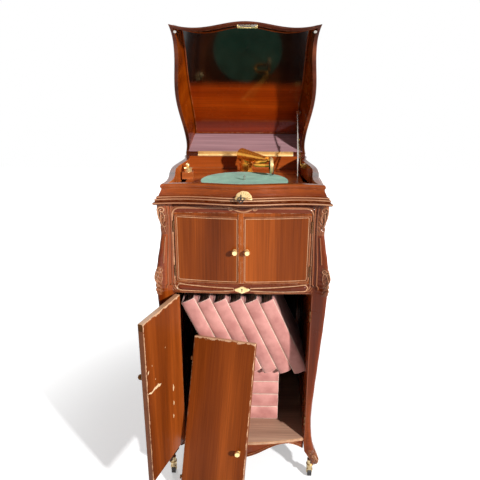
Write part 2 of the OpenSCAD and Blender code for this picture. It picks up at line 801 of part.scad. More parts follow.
module motor_frame() {
    top = deck_z - deck_t;
    color(iron) difference() {
        union() {
            box([-frame_x - frame_plate_t, frame_y[0], top - frame_plate_t],
                [frame_x + frame_plate_t, frame_y[1], top]);
            for (side = [-1, 1]) {
                at = side > 0 ? frame_x : -frame_x - cheek_t;
                box([at, barrel_y - cheek_lead, barrel_z - cheek_up],
                    [at + cheek_t, gov_y + 10, top - cheek_t]);
                box([at, gov_y - 10, wheel_z - 12], [at + cheek_t, gov_y + 10, barrel_z]);
            }
            box([-frame_x, spindle_xy[1] - bridge_half, bridge_z[0]],
                [frame_x, spindle_xy[1] + bridge_half, bridge_z[1]]);
            for (side = [-1, 1])
                translate([side > 0 ? frame_x - frame_plate_t : -frame_x, spindle_xy[1] - bridge_half, 0])
                    box([0, 0, bridge_z[0]], [frame_plate_t, 2 * bridge_half, barrel_z - 10]);
        }
        rod_x(winding_r + run_gap, -frame_x - 20, frame_x + 20, barrel_y, barrel_z);
        rod_x(gov_shaft_r + run_gap, -frame_x - 20, frame_x + 20, gov_y, wheel_z);
        rod_z(hub_r + run_gap, wheel_z - 20, top + 1, spindle_xy);
    }
}
module gear(r_tip, r_root, teeth, width) {
    linear_extrude(width) union() {
        circle(r = r_root);
        for (i = [0:teeth - 1]) rotate(360 * i / teeth)
            polygon([[r_root - 1, -1.3], [r_tip, -0.6], [r_tip, 0.6], [r_root - 1, 1.3]]);
    }
}
module spring_barrel() {
    color(brass) difference() {
        union() {
            rod_x(spring_r, -barrel_half, barrel_half, barrel_y, barrel_z);
            translate([spindle_xy[0] - 3, barrel_y, barrel_z]) rotate([0, 90, 0]) gear(gear_tip_r, 36, 48, 6);
        }
        rod_x(winding_r + run_gap, -barrel_half - 1, barrel_half + 1, barrel_y, barrel_z);
        rod_x(spring_r - 3, -barrel_half + 3, -barrel_half + 30, barrel_y, barrel_z);
    }
}
socket_deep_x = 25;
socket_bore_r = 4;
module winding_shaft() {
    color(nickel) difference() {
        rod_x(winding_r, -frame_x - 12, side_x + 6, barrel_y, barrel_z);
        rod_x(socket_bore_r, side_x + 6 - socket_deep_x, side_x + 7, barrel_y, barrel_z);
    }
}
module spindle() {
    felt = deck_z + platter_rise;
    color(nickel) union() {
        rod_z(worm_r, barrel_z - worm_half, barrel_z + worm_half, spindle_xy);
        rod_z(hub_r, wheel_z - 12, felt, spindle_xy);
        rod_z(spindle_r, felt - 1, felt + spindle_up - spindle_tip, spindle_xy);
        translate([spindle_xy[0], spindle_xy[1], felt + spindle_up - spindle_tip])
            cylinder(r1 = spindle_r, r2 = spindle_r - spindle_tip, h = spindle_tip);
        translate([spindle_xy[0], spindle_xy[1], wheel_z - 4]) gear(wheel_r, wheel_r - 2, 36, 8);
    }
}
module governor() {
    color(brass) union() {
        rod_x(gov_shaft_r, -frame_x - 4, frame_x + 4, gov_y, wheel_z);
        rod_x(gov_worm_r, spindle_xy[0] - 14, spindle_xy[0] + 14, gov_y, wheel_z);
        rod_x(gov_disc_r, gov_x + spring_half - 1, gov_x + spring_half + 3, gov_y, wheel_z);
        rod_x(gov_worm_r, gov_x - spring_half - 1, gov_x - spring_half + 2, gov_y, wheel_z);
        for (a = [0:120:240]) translate([gov_x, gov_y, wheel_z]) rotate([a, 0, 0]) {
            rod_x(4.5, -3, 3, 0, weight_out);
            box([-spring_half, -spring_w / 2, weight_out + 0.6],
                [spring_half, spring_w / 2, weight_out + 0.6 + spring_leaf_t]);
            for (x = [-spring_half, spring_half - spring_leaf_t])
                box([x, -spring_w / 2, gov_shaft_r / 2],
                    [x + spring_leaf_t, spring_w / 2, weight_out + 0.6 + spring_leaf_t]);
        }
    }
}

/* Turntable */
felt_t = 2;
plate_t = 3;
skirt_h = 11;
skirt_t = 4;
boss_r = 12;
module turntable() {
    top = deck_z + platter_rise - felt_t;
    color(nickel) difference() {
        union() {
            rod_z(platter_d / 2, top - plate_t, top, spindle_xy);
            difference() {
                rod_z(platter_d / 2, top - skirt_h, top, spindle_xy);
                rod_z(platter_d / 2 - skirt_t, top - skirt_h - 1, top, spindle_xy);
            }
            rod_z(boss_r, deck_z + plate_t, top, spindle_xy);
        }
        rod_z(hub_r + slack, deck_z, top + 1, spindle_xy);
    }
}
module turntable_felt() {
    top = deck_z + platter_rise;
    color("#86c59e") difference() {
        rod_z(platter_d / 2 - 1, top - felt_t, top, spindle_xy);
        rod_z(hub_r + seat, top - felt_t - 1, top + 1, spindle_xy);
    }
}

/* Horn and sound arm */
throat_r = 24;
throat_wall = 4;
throat_up = 94;
horn_end = 45;
module panel_y(half, z0, z1, y) {
    box([-half, y, z0], [half, y + 0.2, z1]);
}
// Sections of the horn from its mouth to the throat: half width, lower and upper edge, and depth.
mouth_in = [8, 10, 10, 2];
waist_in = [70, 24, 91, 86];
neck_low = 56;
neck_down = 109;
neck_lead = 32;
horn_mouth = [up_half - mouth_in[0], mid_z + mouth_in[1], top_rail_z - mouth_in[2],
    rail_t - face_y + mouth_in[3]];
horn_waist = [up_half - waist_in[0], mid_z + waist_in[1], top_rail_z - waist_in[2],
    horn_mouth[3] + waist_in[3]];
horn_neck = [horn_end, mid_z + neck_low, top_rail_z - neck_down, arm_xy[1] - neck_lead];
module horn_section(at, grow) panel_y(at[0] + grow, at[1] - grow, at[2] + grow, at[3]);
module flare(grow) {
    for (pair = [[horn_mouth, horn_waist], [horn_waist, horn_neck]]) hull() {
        horn_section(pair[0], grow);
        horn_section(pair[1], grow);
    }
}
horn_wall = 8;
// Bars that carry the horn: depth of each one's front face, and its height.
horn_props = [[horn_waist[3] + 10, 16], [horn_neck[3] - 40, 44]];
prop_half = 70;
prop_t = 16;
module sound_chamber() {
    color(mahogany) union() {
        difference() {
            flare(horn_wall);
            flare(0);
            box([-horn_end, horn_neck[3] - 1, horn_neck[1] + 1],
                [horn_end, horn_neck[3] + 2, horn_neck[2] - 1]);
            box([-horn_mouth[0], horn_mouth[3] - 1, horn_mouth[1]],
                [horn_mouth[0], horn_mouth[3] + 1, horn_mouth[2]]);
        }
        for (prop = horn_props)
            box([-prop_half, prop[0], mid_z], [prop_half, prop[0] + prop_t, mid_z + prop[1]]);
    }
}
elbow_r = 30;
flange_w = 10;
flange_t = 5;
module horn_throat() {
    mid = mid_z + throat_up;
    outer = throat_r + throat_wall;
    start = horn_neck[3] + 0.5;
    color(iron) difference() {
        union() {
            rod_z(outer, mid - elbow_r - throat_wall, deck_z - deck_t, arm_xy);
            rod_y(elbow_r + throat_wall, start, arm_xy[1], arm_xy[0], mid);
            rod_z(outer + flange_w, deck_z - deck_t - flange_t, deck_z - deck_t, arm_xy);
        }
        rod_z(throat_r, mid - elbow_r, deck_z, arm_xy);
        rod_y(elbow_r, start - 1.5, arm_xy[1], arm_xy[0], mid);
    }
}
swivel_r = 20;
collar_z = deck_z + arm_rise - arm_r - 8;
module tonearm_base() {
    color(brass) difference() {
        union() {
            rod_z(36, deck_z, deck_z + 4, arm_xy);
            translate([arm_xy[0], arm_xy[1], deck_z + 4]) cylinder(r1 = 30, r2 = 25, h = 6);
            rod_z(swivel_r + 4, deck_z + 4, collar_z, arm_xy);
            rod_z(26, collar_z - 4, collar_z, arm_xy);
        }
        rod_z(swivel_r + run_gap, deck_z - 1, deck_z + arm_rise, arm_xy);
    }
}
arm_z = deck_z + arm_rise;
arm_dir = atan2(arm_end[1] - arm_xy[1], arm_end[0] - arm_xy[0]);
arm_len = norm(arm_end - arm_xy);
arm_wall = 1.6;
neck_in = 12;
module along_arm() {
    translate([arm_xy[0], arm_xy[1], arm_z]) rotate([0, 90, arm_dir]) children();
}
module tonearm_tube() {
    color("#d09a3e") difference() {
        union() {
            along_arm() translate([0, 0, -arm_r]) cylinder(r1 = arm_r, r2 = arm_tip_r, h = arm_len + arm_r);
            rod_z(swivel_r, deck_z + 14, arm_z - arm_r / 2, arm_xy);
            rod_z(26, collar_z + seat, collar_z + 6, arm_xy);
            along_arm() translate([0, 0, arm_len - 10]) cylinder(r = arm_tip_r + 2.4, h = 10);
        }
        along_arm() translate([0, 0, 6 - arm_r])
            cylinder(r1 = arm_r - arm_wall, r2 = neck_r, h = arm_len + arm_r - neck_in - 8);
        along_arm() translate([0, 0, arm_len - neck_in - 6]) cylinder(r = neck_r + run_gap, h = 30);
        rod_z(swivel_r - 3, deck_z, arm_z, arm_xy);
    }
}
// The gooseneck turns in the arm's end, swings out to the left and comes back into the sound box.
neck_r = 6.5;
neck_left = 54;
neck_bend = 13;
neck_stub = 4;
neck_collar = 3;
function arc(centre, radius, from, to, steps) =
    [for (i = [0:steps]) let (a = mix(from, to, i / steps)) centre + radius * [cos(a), sin(a)]];
module gooseneck() {
    d = [cos(arm_dir), sin(arm_dir)];
    root = arm_end + (seat + 1) * d;
    start = arm_end + neck_stub * d;
    first = start + neck_bend * [d[1], -d[0]];
    run_y = first[1] - neck_bend;
    half = (run_y - box_xy[1]) / 2;
    box_face = box_xy[0] - box_t / 2;
    flat = concat(arc(first, neck_bend, arm_dir + 90, -90, 8),
        arc([neck_left, box_xy[1] + half], half, 90, 270, 8), [[box_face, box_xy[1]]]);
    fall = arm_rise - box_rise;
    path = concat([[each root, arm_z]],
        [for (i = [0:len(flat) - 1]) [each flat[i], arm_z - fall * min(max((i - 6) / 7, 0), 1)]]);
    color(brass) union() {
        pipe(path, [for (i = [0:len(path) - 1]) i == 0 ? neck_r - 0.5 : neck_r], 16);
        along_arm() translate([0, 0, arm_len - neck_in]) cylinder(r = neck_r, h = neck_in + seat + 2);
        along_arm() translate([0, 0, arm_len + seat]) cylinder(r = neck_r + 3, h = neck_collar);
    }
}
box_t = 13;
box_z = deck_z + box_rise;
module sound_box() {
    x = box_xy[0];
    color(nickel) difference() {
        union() {
            rod_x(box_d / 2, x - box_t / 2, x + box_t / 2, box_xy[1], box_z);
            rod_x(box_d / 2 - 6, x - box_t / 2 - 3, x, box_xy[1], box_z);
        }
        rod_x(box_d / 2 - 7, x + box_t / 2 - 3, x + box_t, box_xy[1], box_z);
        rod_x(neck_r + seat, x - box_t, x - box_t / 2 + seat, box_xy[1], box_z);
    }
}
module needle_arm() {
    x = box_xy[0] + box_t / 2;
    y = box_xy[1];
    low = box_z - box_d / 2;
    color(iron) union() {
        box([x - 2.9, y - 1.5, box_z - 2], [x + 1, y + 1.5, box_z + 2]);
        box([x + seat, y - 1.5, low - 1], [x + 2.3, y + 1.5, box_z + 2]);
        box([x - 5, y - 2.5, low - 3.8], [x + 3, y + 2.5, low - seat]);
        rod_y(1.6, y - 10, y - 2, x - 1, low - 2);
    }
}

/* Small pieces on the deck */
brake_out = 39.4;
brake_round = -39.5;
brake_xy = spindle_xy + (platter_d / 2 + brake_out) * [cos(brake_round), sin(brake_round)];
brake_pin_r = 3;
brake_up = 12;
brake_t = 2.5;
brake_handle = [34, -30];
brake_dir = atan2(spindle_xy[1] - brake_xy[1], spindle_xy[0] - brake_xy[0]);
brake_len = norm(brake_xy - spindle_xy) - platter_d / 2 - seat;
module brake_lever() {
    color(nickel) union() {
        rod_z(brake_pin_r, deck_z - 10, deck_z + brake_up + brake_t, brake_xy);
        rod_z(brake_pin_r + 4, deck_z + seat, deck_z + 3, brake_xy);
        translate([brake_xy[0], brake_xy[1], deck_z + brake_up]) {
            rotate([0, 0, brake_dir]) box([-2, -4, 0], [brake_len, 4, brake_t]);
            rotate([0, 0, brake_handle[1]]) box([0, -3, 0], [brake_handle[0], 3, brake_t]);
        }
    }
}
block_in = [18, 334];
block_low = block_in - [rim_half, rim_front];
block_size = [40, 34, 26];
cup_xy = [block_low[0] + block_size[0] / 2, block_low[1] + block_size[1] / 2];
cup_z = deck_z + block_size[2];
cup_r = 15;
cup_h = 12;
cup_wall = 2;
module needle_cup() {
    color(brass) difference() {
        rod_z(cup_r, cup_z, cup_z + cup_h, cup_xy);
        rod_z(cup_r - cup_wall, cup_z + cup_wall, cup_z + cup_h + 1, cup_xy);
    }
}
module needle_block() {
    low = [each block_low, deck_z];
    color("#a5602c") box(low, low + block_size);
    color(nickel) box(low + [-2.5, 3, 0], low + [0, 12, 22]);
}

/* Caster pieces */
module caster_sockets() {
    for (p = caster_places) color(brass) difference() {
        union() {
            rod_z(socket_r, foot_z, foot_z + socket_deep, p);
            rod_z(socket_r + 3, foot_z - 2, foot_z, p);
        }
        rod_z(stem_r + run_gap, foot_z - 3, foot_z + socket_deep - 2, p);
    }
}
module caster_horn(p) {
    y = p[1] + caster_trail;
    hub = wheel_d / 2;
    inner = wheel_w / 2 + fork_gap;
    crown = wheel_d + 2;
    color("#e6d3a8") union() {
        rod_z(stem_r, crown, foot_z + socket_deep - 3, p);
        rod_z(horn_r, crown, foot_z - 2 - seat, p);
        box([p[0] - inner - fork_t, p[1] - 8, crown], [p[0] + inner + fork_t, y + 6, crown + 4]);
        for (s = [-1, 1]) {
            at = p[0] + (s > 0 ? inner : -inner - fork_t);
            box([at, y - 6, hub], [at + fork_t, y + 6, crown + 1]);
            rod_x(6, at, at + fork_t, y, hub);
        }
        rod_x(axle_r, p[0] - inner - fork_t - 1, p[0] + inner + fork_t + 1, y, hub);
    }
}
module caster_wheel(p) {
    y = p[1] + caster_trail;
    hub = wheel_d / 2;
    color("#4a3a30") difference() {
        rod_x(hub, p[0] - wheel_w / 2, p[0] + wheel_w / 2, y, hub);
        rod_x(axle_r + run_gap, p[0] - wheel_w, p[0] + wheel_w, y, hub);
    }
}
module caster_horn_front_left() caster_horn(caster_places[0]);
module caster_horn_front_right() caster_horn(caster_places[1]);
module caster_horn_rear_left() caster_horn(caster_places[2]);
module caster_horn_rear_right() caster_horn(caster_places[3]);
module caster_wheel_front_left() caster_wheel(caster_places[0]);
module caster_wheel_front_right() caster_wheel(caster_places[1]);
module caster_wheel_rear_left() caster_wheel(caster_places[2]);
module caster_wheel_rear_right() caster_wheel(caster_places[3]);

/* Record albums */
stack_t = 56;
stack_w = 326;
stack_in = 92;
stack_right = low_half - stack_in;
spine_r = 40;
// One album standing on its lower edge, spine to the front, corner at the origin.
module album(thick, high) {
    linear_extrude(high) intersection() {
        square([thick, album_depth]);
        translate([thick / 2, spine_r]) union() {
            circle(r = spine_r);
            translate([-thick, 0]) square([2 * thick, album_depth]);
        }
    }
}
module record_albums() {
    top = shelf_z + stack_n * (stack_t + seat);
    for (i = [0:stack_n - 1])
        color("#d3938d") translate([stack_right - stack_w, stack_y, shelf_z + stack_t + i * (stack_t + seat)])
            rotate([0, 90, 0]) album(stack_t, stack_w);
    for (i = [0:lean_n - 1])
        color("#d3938d") translate([row_left + i * album_pitch, row_y, top]) rotate([0, -album_lean, 0])
            album(album_t, album_h);
}

post_front_left();
post_front_right();
rear_posts();
side_panels();
back_panel();
bottom_board();
aprons();
lower_rail();
divider_board();
top_rail();
base_moulding();
top_case();
motor_board();
sound_chamber();
horn_throat();
lid_lock();
keyhole_plate();
winding_escutcheon();
motor_frame();
tonearm_base();
caster_sockets();
needle_cup();
needle_block();
case_hinges();
stay_bracket();
record_albums();
lid_shell();
lid_panel();
lid_fittings();
lid_hinge_leaf();
stay_rod();
stay_arm();
upper_left_door();
upper_left_fittings();
upper_right_door();
upper_right_fittings();
lower_left_door();
lower_left_fittings();
lower_right_door();
lower_right_fittings();
turntable();
turntable_felt();
spindle();
spring_barrel();
governor();
winding_shaft();
tonearm_tube();
gooseneck();
sound_box();
needle_arm();
brake_lever();
lid_key();
caster_horn_front_left();
caster_horn_front_right();
caster_horn_rear_left();
caster_horn_rear_right();
caster_wheel_front_left();
caster_wheel_front_right();
caster_wheel_rear_left();
caster_wheel_rear_right();
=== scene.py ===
import math

import bmesh
import bpy
from mathutils import Matrix, Vector


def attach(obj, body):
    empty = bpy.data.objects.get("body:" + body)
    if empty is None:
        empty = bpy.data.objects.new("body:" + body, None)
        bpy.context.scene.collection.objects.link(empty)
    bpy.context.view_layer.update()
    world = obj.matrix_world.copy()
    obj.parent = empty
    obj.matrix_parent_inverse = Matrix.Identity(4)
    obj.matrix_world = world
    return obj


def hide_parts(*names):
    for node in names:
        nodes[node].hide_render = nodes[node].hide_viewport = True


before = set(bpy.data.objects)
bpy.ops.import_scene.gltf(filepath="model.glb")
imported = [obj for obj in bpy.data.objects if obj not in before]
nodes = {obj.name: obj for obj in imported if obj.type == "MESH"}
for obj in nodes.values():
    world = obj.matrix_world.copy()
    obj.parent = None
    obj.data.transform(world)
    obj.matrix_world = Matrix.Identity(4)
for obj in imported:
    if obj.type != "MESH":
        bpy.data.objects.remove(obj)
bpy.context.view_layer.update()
scene = bpy.context.scene
print("frame:", len(nodes), "nodes")

mm = 0.001

# camera, lights and floor

camera = {
    "place": (0.0288, -1.738, 1.4336),
    "down": 0.327,      # radians below the horizon
    "turn": -0.025,     # to the right of straight ahead
    "roll": 0.003,
    "focal": 485.76,    # in pixels of a square frame
    "frame": 480,
    "sensor": 36.0,
}


def addCamera():
    down, turn, roll = camera["down"], camera["turn"], camera["roll"]
    ahead = Vector((math.sin(turn) * math.cos(down), math.cos(turn) * math.cos(down), -math.sin(down)))
    right = Vector((math.cos(turn), -math.sin(turn), 0))
    up = right.cross(ahead)
    right, up = (math.cos(roll) * right + math.sin(roll) * up, math.cos(roll) * up - math.sin(roll) * right)
    data = bpy.data.cameras.new("photoCamera")
    data.sensor_width = camera["sensor"]
    data.lens = camera["focal"] / camera["frame"] * camera["sensor"]
    obj = bpy.data.objects.new("photoCamera", data)
    scene.collection.objects.link(obj)
    turned = Matrix((right, up, -ahead)).transposed().to_4x4()
    obj.matrix_world = Matrix.Translation(camera["place"]) @ turned
    scene.camera = obj
    print("camera: 1")


addCamera()


def fill(tree, node, values):  # sockets are linked, other values are set
    for key, value in values.items():
        if isinstance(value, bpy.types.NodeSocket):
            tree.links.new(value, node.inputs[key])
        else:
            node.inputs[key].default_value = value


def addNode(tree, kind, values=None, **settings):
    node = tree.nodes.new(kind)
    for key, value in settings.items():
        setattr(node, key, value)
    fill(tree, node, values or {})
    return node


def calc(tree, operation, first, second, clamp=False):
    return addNode(tree, "ShaderNodeMath", {0: first, 1: second}, operation=operation, use_clamp=clamp).outputs[0]


def measure(tree, operation, *vectors):  # one number from one or two vectors
    return addNode(tree, "ShaderNodeVectorMath", dict(enumerate(vectors)), operation=operation).outputs["Value"]


def stretch(tree, vector, factors):
    return addNode(tree, "ShaderNodeVectorMath", {0: vector, 1: factors}, operation="MULTIPLY").outputs[0]


def ranged(tree, value, low, high, toLow=0.0, toHigh=1.0, **settings):
    ends = {"Value": value, "From Min": low, "From Max": high, "To Min": toLow, "To Max": toHigh}
    return addNode(tree, "ShaderNodeMapRange", ends, **settings).outputs[0]


def noise(tree, place, scale, detail, **more):
    return addNode(tree, "ShaderNodeTexNoise", {"Vector": place, "Scale": scale, "Detail": detail, **more}).outputs[0]


def objectPlace(tree):
    return tree.nodes.new("ShaderNodeTexCoord").outputs["Object"]


def relief(tree, height, strength, distance):
    values = {"Height": height, "Strength": strength, "Distance": distance}
    return addNode(tree, "ShaderNodeBump", values).outputs[0]


def startMaterial(name):
    material = bpy.data.materials.new(name)
    material.use_nodes = True
    tree = material.node_tree
    return material, tree, tree.nodes["Principled BSDF"]


studio = {
    "lamps": [
        # name, place, size, power
        ("keyLamp", (3.95, -4.7, 3.25), 0.3, 620),
        ("fillLamp", (-2.4, -1.9, 1.2), 2.0, 5),
        ("rimLamp", (-1.2, 1.9, 2.6), 1.2, 24),
    ],
    "aim": (0, 0, 0.8), "white": (1, 1, 1, 1), "worldLight": 0.16,
    "floorSize": 12, "floorTone": (0.8, 0.8, 0.8, 1), "floorRough": 0.9,
    "floorGlow": (0.42, 1.0), "glowReach": (0.5, 1.5),  # weak by the object, so that its shadow shows
}


def plainSight(tree):  # 1 where the camera sees a thing, also in a mirror or through glass
    rays = tree.nodes.new("ShaderNodeLightPath").outputs
    mirrored = calc(tree, "ADD", rays["Is Camera Ray"], rays["Is Glossy Ray"])
    return calc(tree, "ADD", mirrored, rays["Is Transmission Ray"], clamp=True)


def addLamps():
    for name, place, size, power in studio["lamps"]:
        data = bpy.data.lights.new(name, "AREA")
        data.size, data.energy = size, power
        lamp = bpy.data.objects.new(name, data)
        scene.collection.objects.link(lamp)
        lamp.location = place
        lamp.rotation_euler = (Vector(studio["aim"]) - Vector(place)).to_track_quat("-Z", "Y").to_euler()


def addWorld():
    scene.world = bpy.data.worlds.new("studioWorld")
    scene.world.use_nodes = True
    tree = scene.world.node_tree
    tree.nodes.clear()
    light, white = (addNode(tree, "ShaderNodeBackground", {"Color": studio["white"], "Strength": strength}).outputs[0]
                    for strength in (studio["worldLight"], 1.0))
    blend = addNode(tree, "ShaderNodeMixShader", {0: plainSight(tree), 1: light, 2: white})
    addNode(tree, "ShaderNodeOutputWorld", {0: blend.outputs[0]})


def addFloor():
    half = studio["floorSize"] / 2
    mesh = bpy.data.meshes.new("floor")
    mesh.from_pydata([(-half, -half, 0), (half, -half, 0), (half, half, 0), (-half, half, 0)], [], [(0, 1, 2, 3)])
    floor = bpy.data.objects.new("floor", mesh)
    scene.collection.objects.link(floor)
    material, tree, shader = startMaterial("paleFloor")
    away = measure(tree, "LENGTH", objectPlace(tree))
    rise = ranged(tree, away, *studio["glowReach"], *studio["floorGlow"], interpolation_type="SMOOTHSTEP")
    fill(tree, shader, {"Base Color": studio["floorTone"], "Roughness": studio["floorRough"],
                        "Emission Color": studio["white"],
                        "Emission Strength": calc(tree, "MULTIPLY", plainSight(tree), rise)})
    mesh.materials.append(material)


addLamps()
addWorld()
addFloor()
print("studio:", len(studio["lamps"]), "lamps, world and floor")


# effects that the materials share; every output is a number

def newGroup(name, ins, outs):  # ins: starting values, None for a vector
    tree = bpy.data.node_groups.new(name, "ShaderNodeTree")
    for label, value in ins.items():
        kind = "NodeSocketVector" if value is None else "NodeSocketFloat"
        socket = tree.interface.new_socket(label, in_out="INPUT", socket_type=kind)
        if value is not None:
            socket.default_value = value
    for label in outs:
        tree.interface.new_socket(label, in_out="OUTPUT", socket_type="NodeSocketFloat")
    return tree, tree.nodes.new("NodeGroupInput").outputs, tree.nodes.new("NodeGroupOutput")


def buildGrain():  # ribbon figure and fibres, along the Z of the vector given
    tree, given, out = newGroup("woodGrain", {"Vector": None, "Ribbon Scale": 14.0, "Ribbon Length": 0.05,
                                              "Fibre Scale": 260.0}, ["Figure", "Fibre", "Height"])
    squeeze = addNode(tree, "ShaderNodeCombineXYZ", {0: 1.0, 1: 1.0, 2: given["Ribbon Length"]})
    along = stretch(tree, given["Vector"], squeeze.outputs[0])
    ribbon = noise(tree, along, given["Ribbon Scale"], 2.5, Distortion=0.35)
    blend = calc(tree, "ADD", ribbon, calc(tree, "MULTIPLY", noise(tree, along, 7.0, 2.0), 0.45))
    fibre = noise(tree, stretch(tree, along, (1.0, 1.0, 0.35)), given["Fibre Scale"], 3.0)
    fill(tree, out, {"Figure": ranged(tree, blend, 0.46, 0.99), "Fibre": fibre, "Height": fibre})
    return tree


def buildEdgeWear():  # where edges are rubbed through, broken up by a noise
    tree, given, out = newGroup("edgeWear", {"Radius": 0.003, "Amount": 0.5, "Breakup": 60.0}, ["Mask"])
    flat = tree.nodes.new("ShaderNodeNewGeometry").outputs["Normal"]
    rounded = addNode(tree, "ShaderNodeBevel", {"Radius": given["Radius"]}, samples=3).outputs[0]
    edge = ranged(tree, measure(tree, "DOT_PRODUCT", flat, rounded), 0.995, 0.86)
    broken = ranged(tree, noise(tree, objectPlace(tree), given["Breakup"], 4.0), 0.4, 0.62)
    mask = calc(tree, "MULTIPLY", edge, broken)
    fill(tree, out, {"Mask": calc(tree, "MULTIPLY", mask, given["Amount"], clamp=True)})
    return tree


def buildSmudge():  # uneven gloss from handling
    tree, given, out = newGroup("smudge", {"Scale": 9.0, "Low": 0.2, "High": 0.4}, ["Gloss"])
    cloud = noise(tree, objectPlace(tree), given["Scale"], 5.0, Roughness=0.6)
    fill(tree, out, {"Gloss": ranged(tree, cloud, 0.35, 0.65, given["Low"], given["High"])})
    return tree


def buildWeave():  # threads, as on book cloth, and where the colour has faded
    tree, given, out = newGroup("clothWeave", {"Threads": 900.0}, ["Height", "Fade"])
    place = objectPlace(tree)
    fill(tree, out, {"Height": noise(tree, place, given["Threads"], 2.0), "Fade": noise(tree, place, 22.0, 5.0)})
    return tree


def buildEdgeBand():  # ragged wear inwards from a straight edge; depth is negative inside the wood
    tree, given, out = newGroup("edgeBand", {"Depth": 0.0, "Width": 0.004, "Face": 1.0}, ["Mask"])
    cloud = noise(tree, objectPlace(tree), 42.0, 5.0, Roughness=0.7)
    reach = calc(tree, "MULTIPLY", given["Width"], ranged(tree, cloud, 0.36, 0.66, 0.0, 2.2))
    inside = calc(tree, "ADD", given["Depth"], reach)
    mask = ranged(tree, inside, -0.0006, 0.0006, 0.0, 0.82)
    face = ranged(tree, given["Depth"], -0.0009, -0.0003, 1.0, given["Face"])
    fill(tree, out, {"Mask": calc(tree, "MULTIPLY", mask, face)})
    return tree


effects = {"edgeBand": buildEdgeBand(), "grain": buildGrain(), "wear": buildEdgeWear(), "smudge": buildSmudge(),
           "weave": buildWeave()}
print("shader groups:", len(effects))


def useGroup(tree, effect, values):
    return addNode(tree, "ShaderNodeGroup", values, node_tree=effects[effect]).outputs


def mixColour(tree, factor, first, second, mode="MIX"):
    return addNode(tree, "ShaderNodeMix", {0: factor, 6: first, 7: second}, data_type="RGBA",
                   blend_type=mode).outputs[2]


def paint(colour):  # display colour, 0 to 255, as linear light
    return tuple((c / 255) ** 2.2 for c in colour) + (1.0,)


def wood(dark, mid, light, coat, gloss, wear=0.0, **more):  # tones of the figure, lacquer and rubbed edges
    return {"dark": dark, "mid": mid, "light": light, "coat": coat, "gloss": gloss, "wear": wear, **more}


woods = {
    "caseWood": wood((54, 19, 5), (104, 42, 12), (146, 70, 24), 0.14, (0.2, 0.36), 0.4, worn=(176, 122, 84)),
    "doorWood": wood((92, 42, 15), (118, 56, 20), (152, 76, 30), 0.05, (0.3, 0.46), 0.8, shine=0.08),
    "rimWood": wood((42, 16, 7), (84, 37, 18), (122, 62, 34), 0.14, (0.2, 0.36), 0.4, worn=(176, 122, 84)),
    "lidWood": wood((84, 32, 4), (118, 49, 8), (150, 70, 16), 0.06, (0.16, 0.3), 0.25),
    # painted light: a much lighter copy of the case wood for the well's inner faces and the motor board, standing in
    # for the sunlight on them
    "wellWood": wood((136, 60, 22), (176, 88, 38), (204, 118, 60), 0.06, (0.16, 0.3), 0.3),
    # mirrorWood: the band above one height is painted shade, standing in for the dark reflections on the panel's upper
    # part
    "mirrorWood": wood((88, 28, 4), (132, 48, 8), (164, 68, 16), 1.0, (0.2, 0.3), coatIor=1.55, coatRough=0.09,
                       dim=(1.375, 1.42)),
    # painted reflection: a pinkish-grey copy of the mahogany for the lid's rear inner wall, standing in for the sky
    # reflected in its varnish
    "boardWood": wood((136, 100, 104), (152, 116, 120), (166, 132, 134), 0.1, (0.3, 0.42), 0.2),
    # painted shade: near black for the inner boards and horn chamber, standing in for the shade inside the cabinet
    "innerWood": wood((7, 4, 3), (12, 7, 5), (18, 11, 8), 0.0, (0.6, 0.8)),
    "shelfWood": wood((134, 100, 82), (170, 132, 110), (198, 160, 134), 0.06, (0.35, 0.6), 0.9),
    "blockWood": wood((120, 58, 26), (165, 88, 44), (196, 118, 66), 0.3, (0.2, 0.35), 0.6),
    "carvedWood": wood((56, 22, 9), (112, 56, 26), (168, 108, 68), 0.3, (0.22, 0.4), 1.0, worn=(214, 176, 134)),
    "trimWood": wood((96, 42, 16), (122, 58, 26), (150, 82, 44), 0.4, (0.2, 0.34), fibre=0.1),
    # painted highlight: a pale copy of the case wood for ridges, beads and carved scrolls, standing in for the light
    # they catch
    "ridgeWood": wood((134, 82, 54), (158, 106, 74), (184, 136, 102), 0.4, (0.2, 0.34), fibre=0.1),
    "paleEdge": wood((168, 120, 84), (186, 140, 104), (206, 164, 126), 0.2, (0.3, 0.5), fibre=0.12),
    "chipWood": wood((198, 160, 118), (216, 184, 142), (232, 208, 172), 0.0, (0.5, 0.7)),
    "beadWood": wood((104, 54, 26), (130, 74, 42), (158, 102, 66), 0.4, (0.25, 0.42), fibre=0.12),
}
woodUsual = {"worn": (206, 164, 128), "dimmed": (18, 11, 7), "fibre": 0.2, "shine": 0.14, "coatRough": 0.12,
             "coatIor": 1.5, "coveredFace": 0.1}
upright = (0, 0, 0)


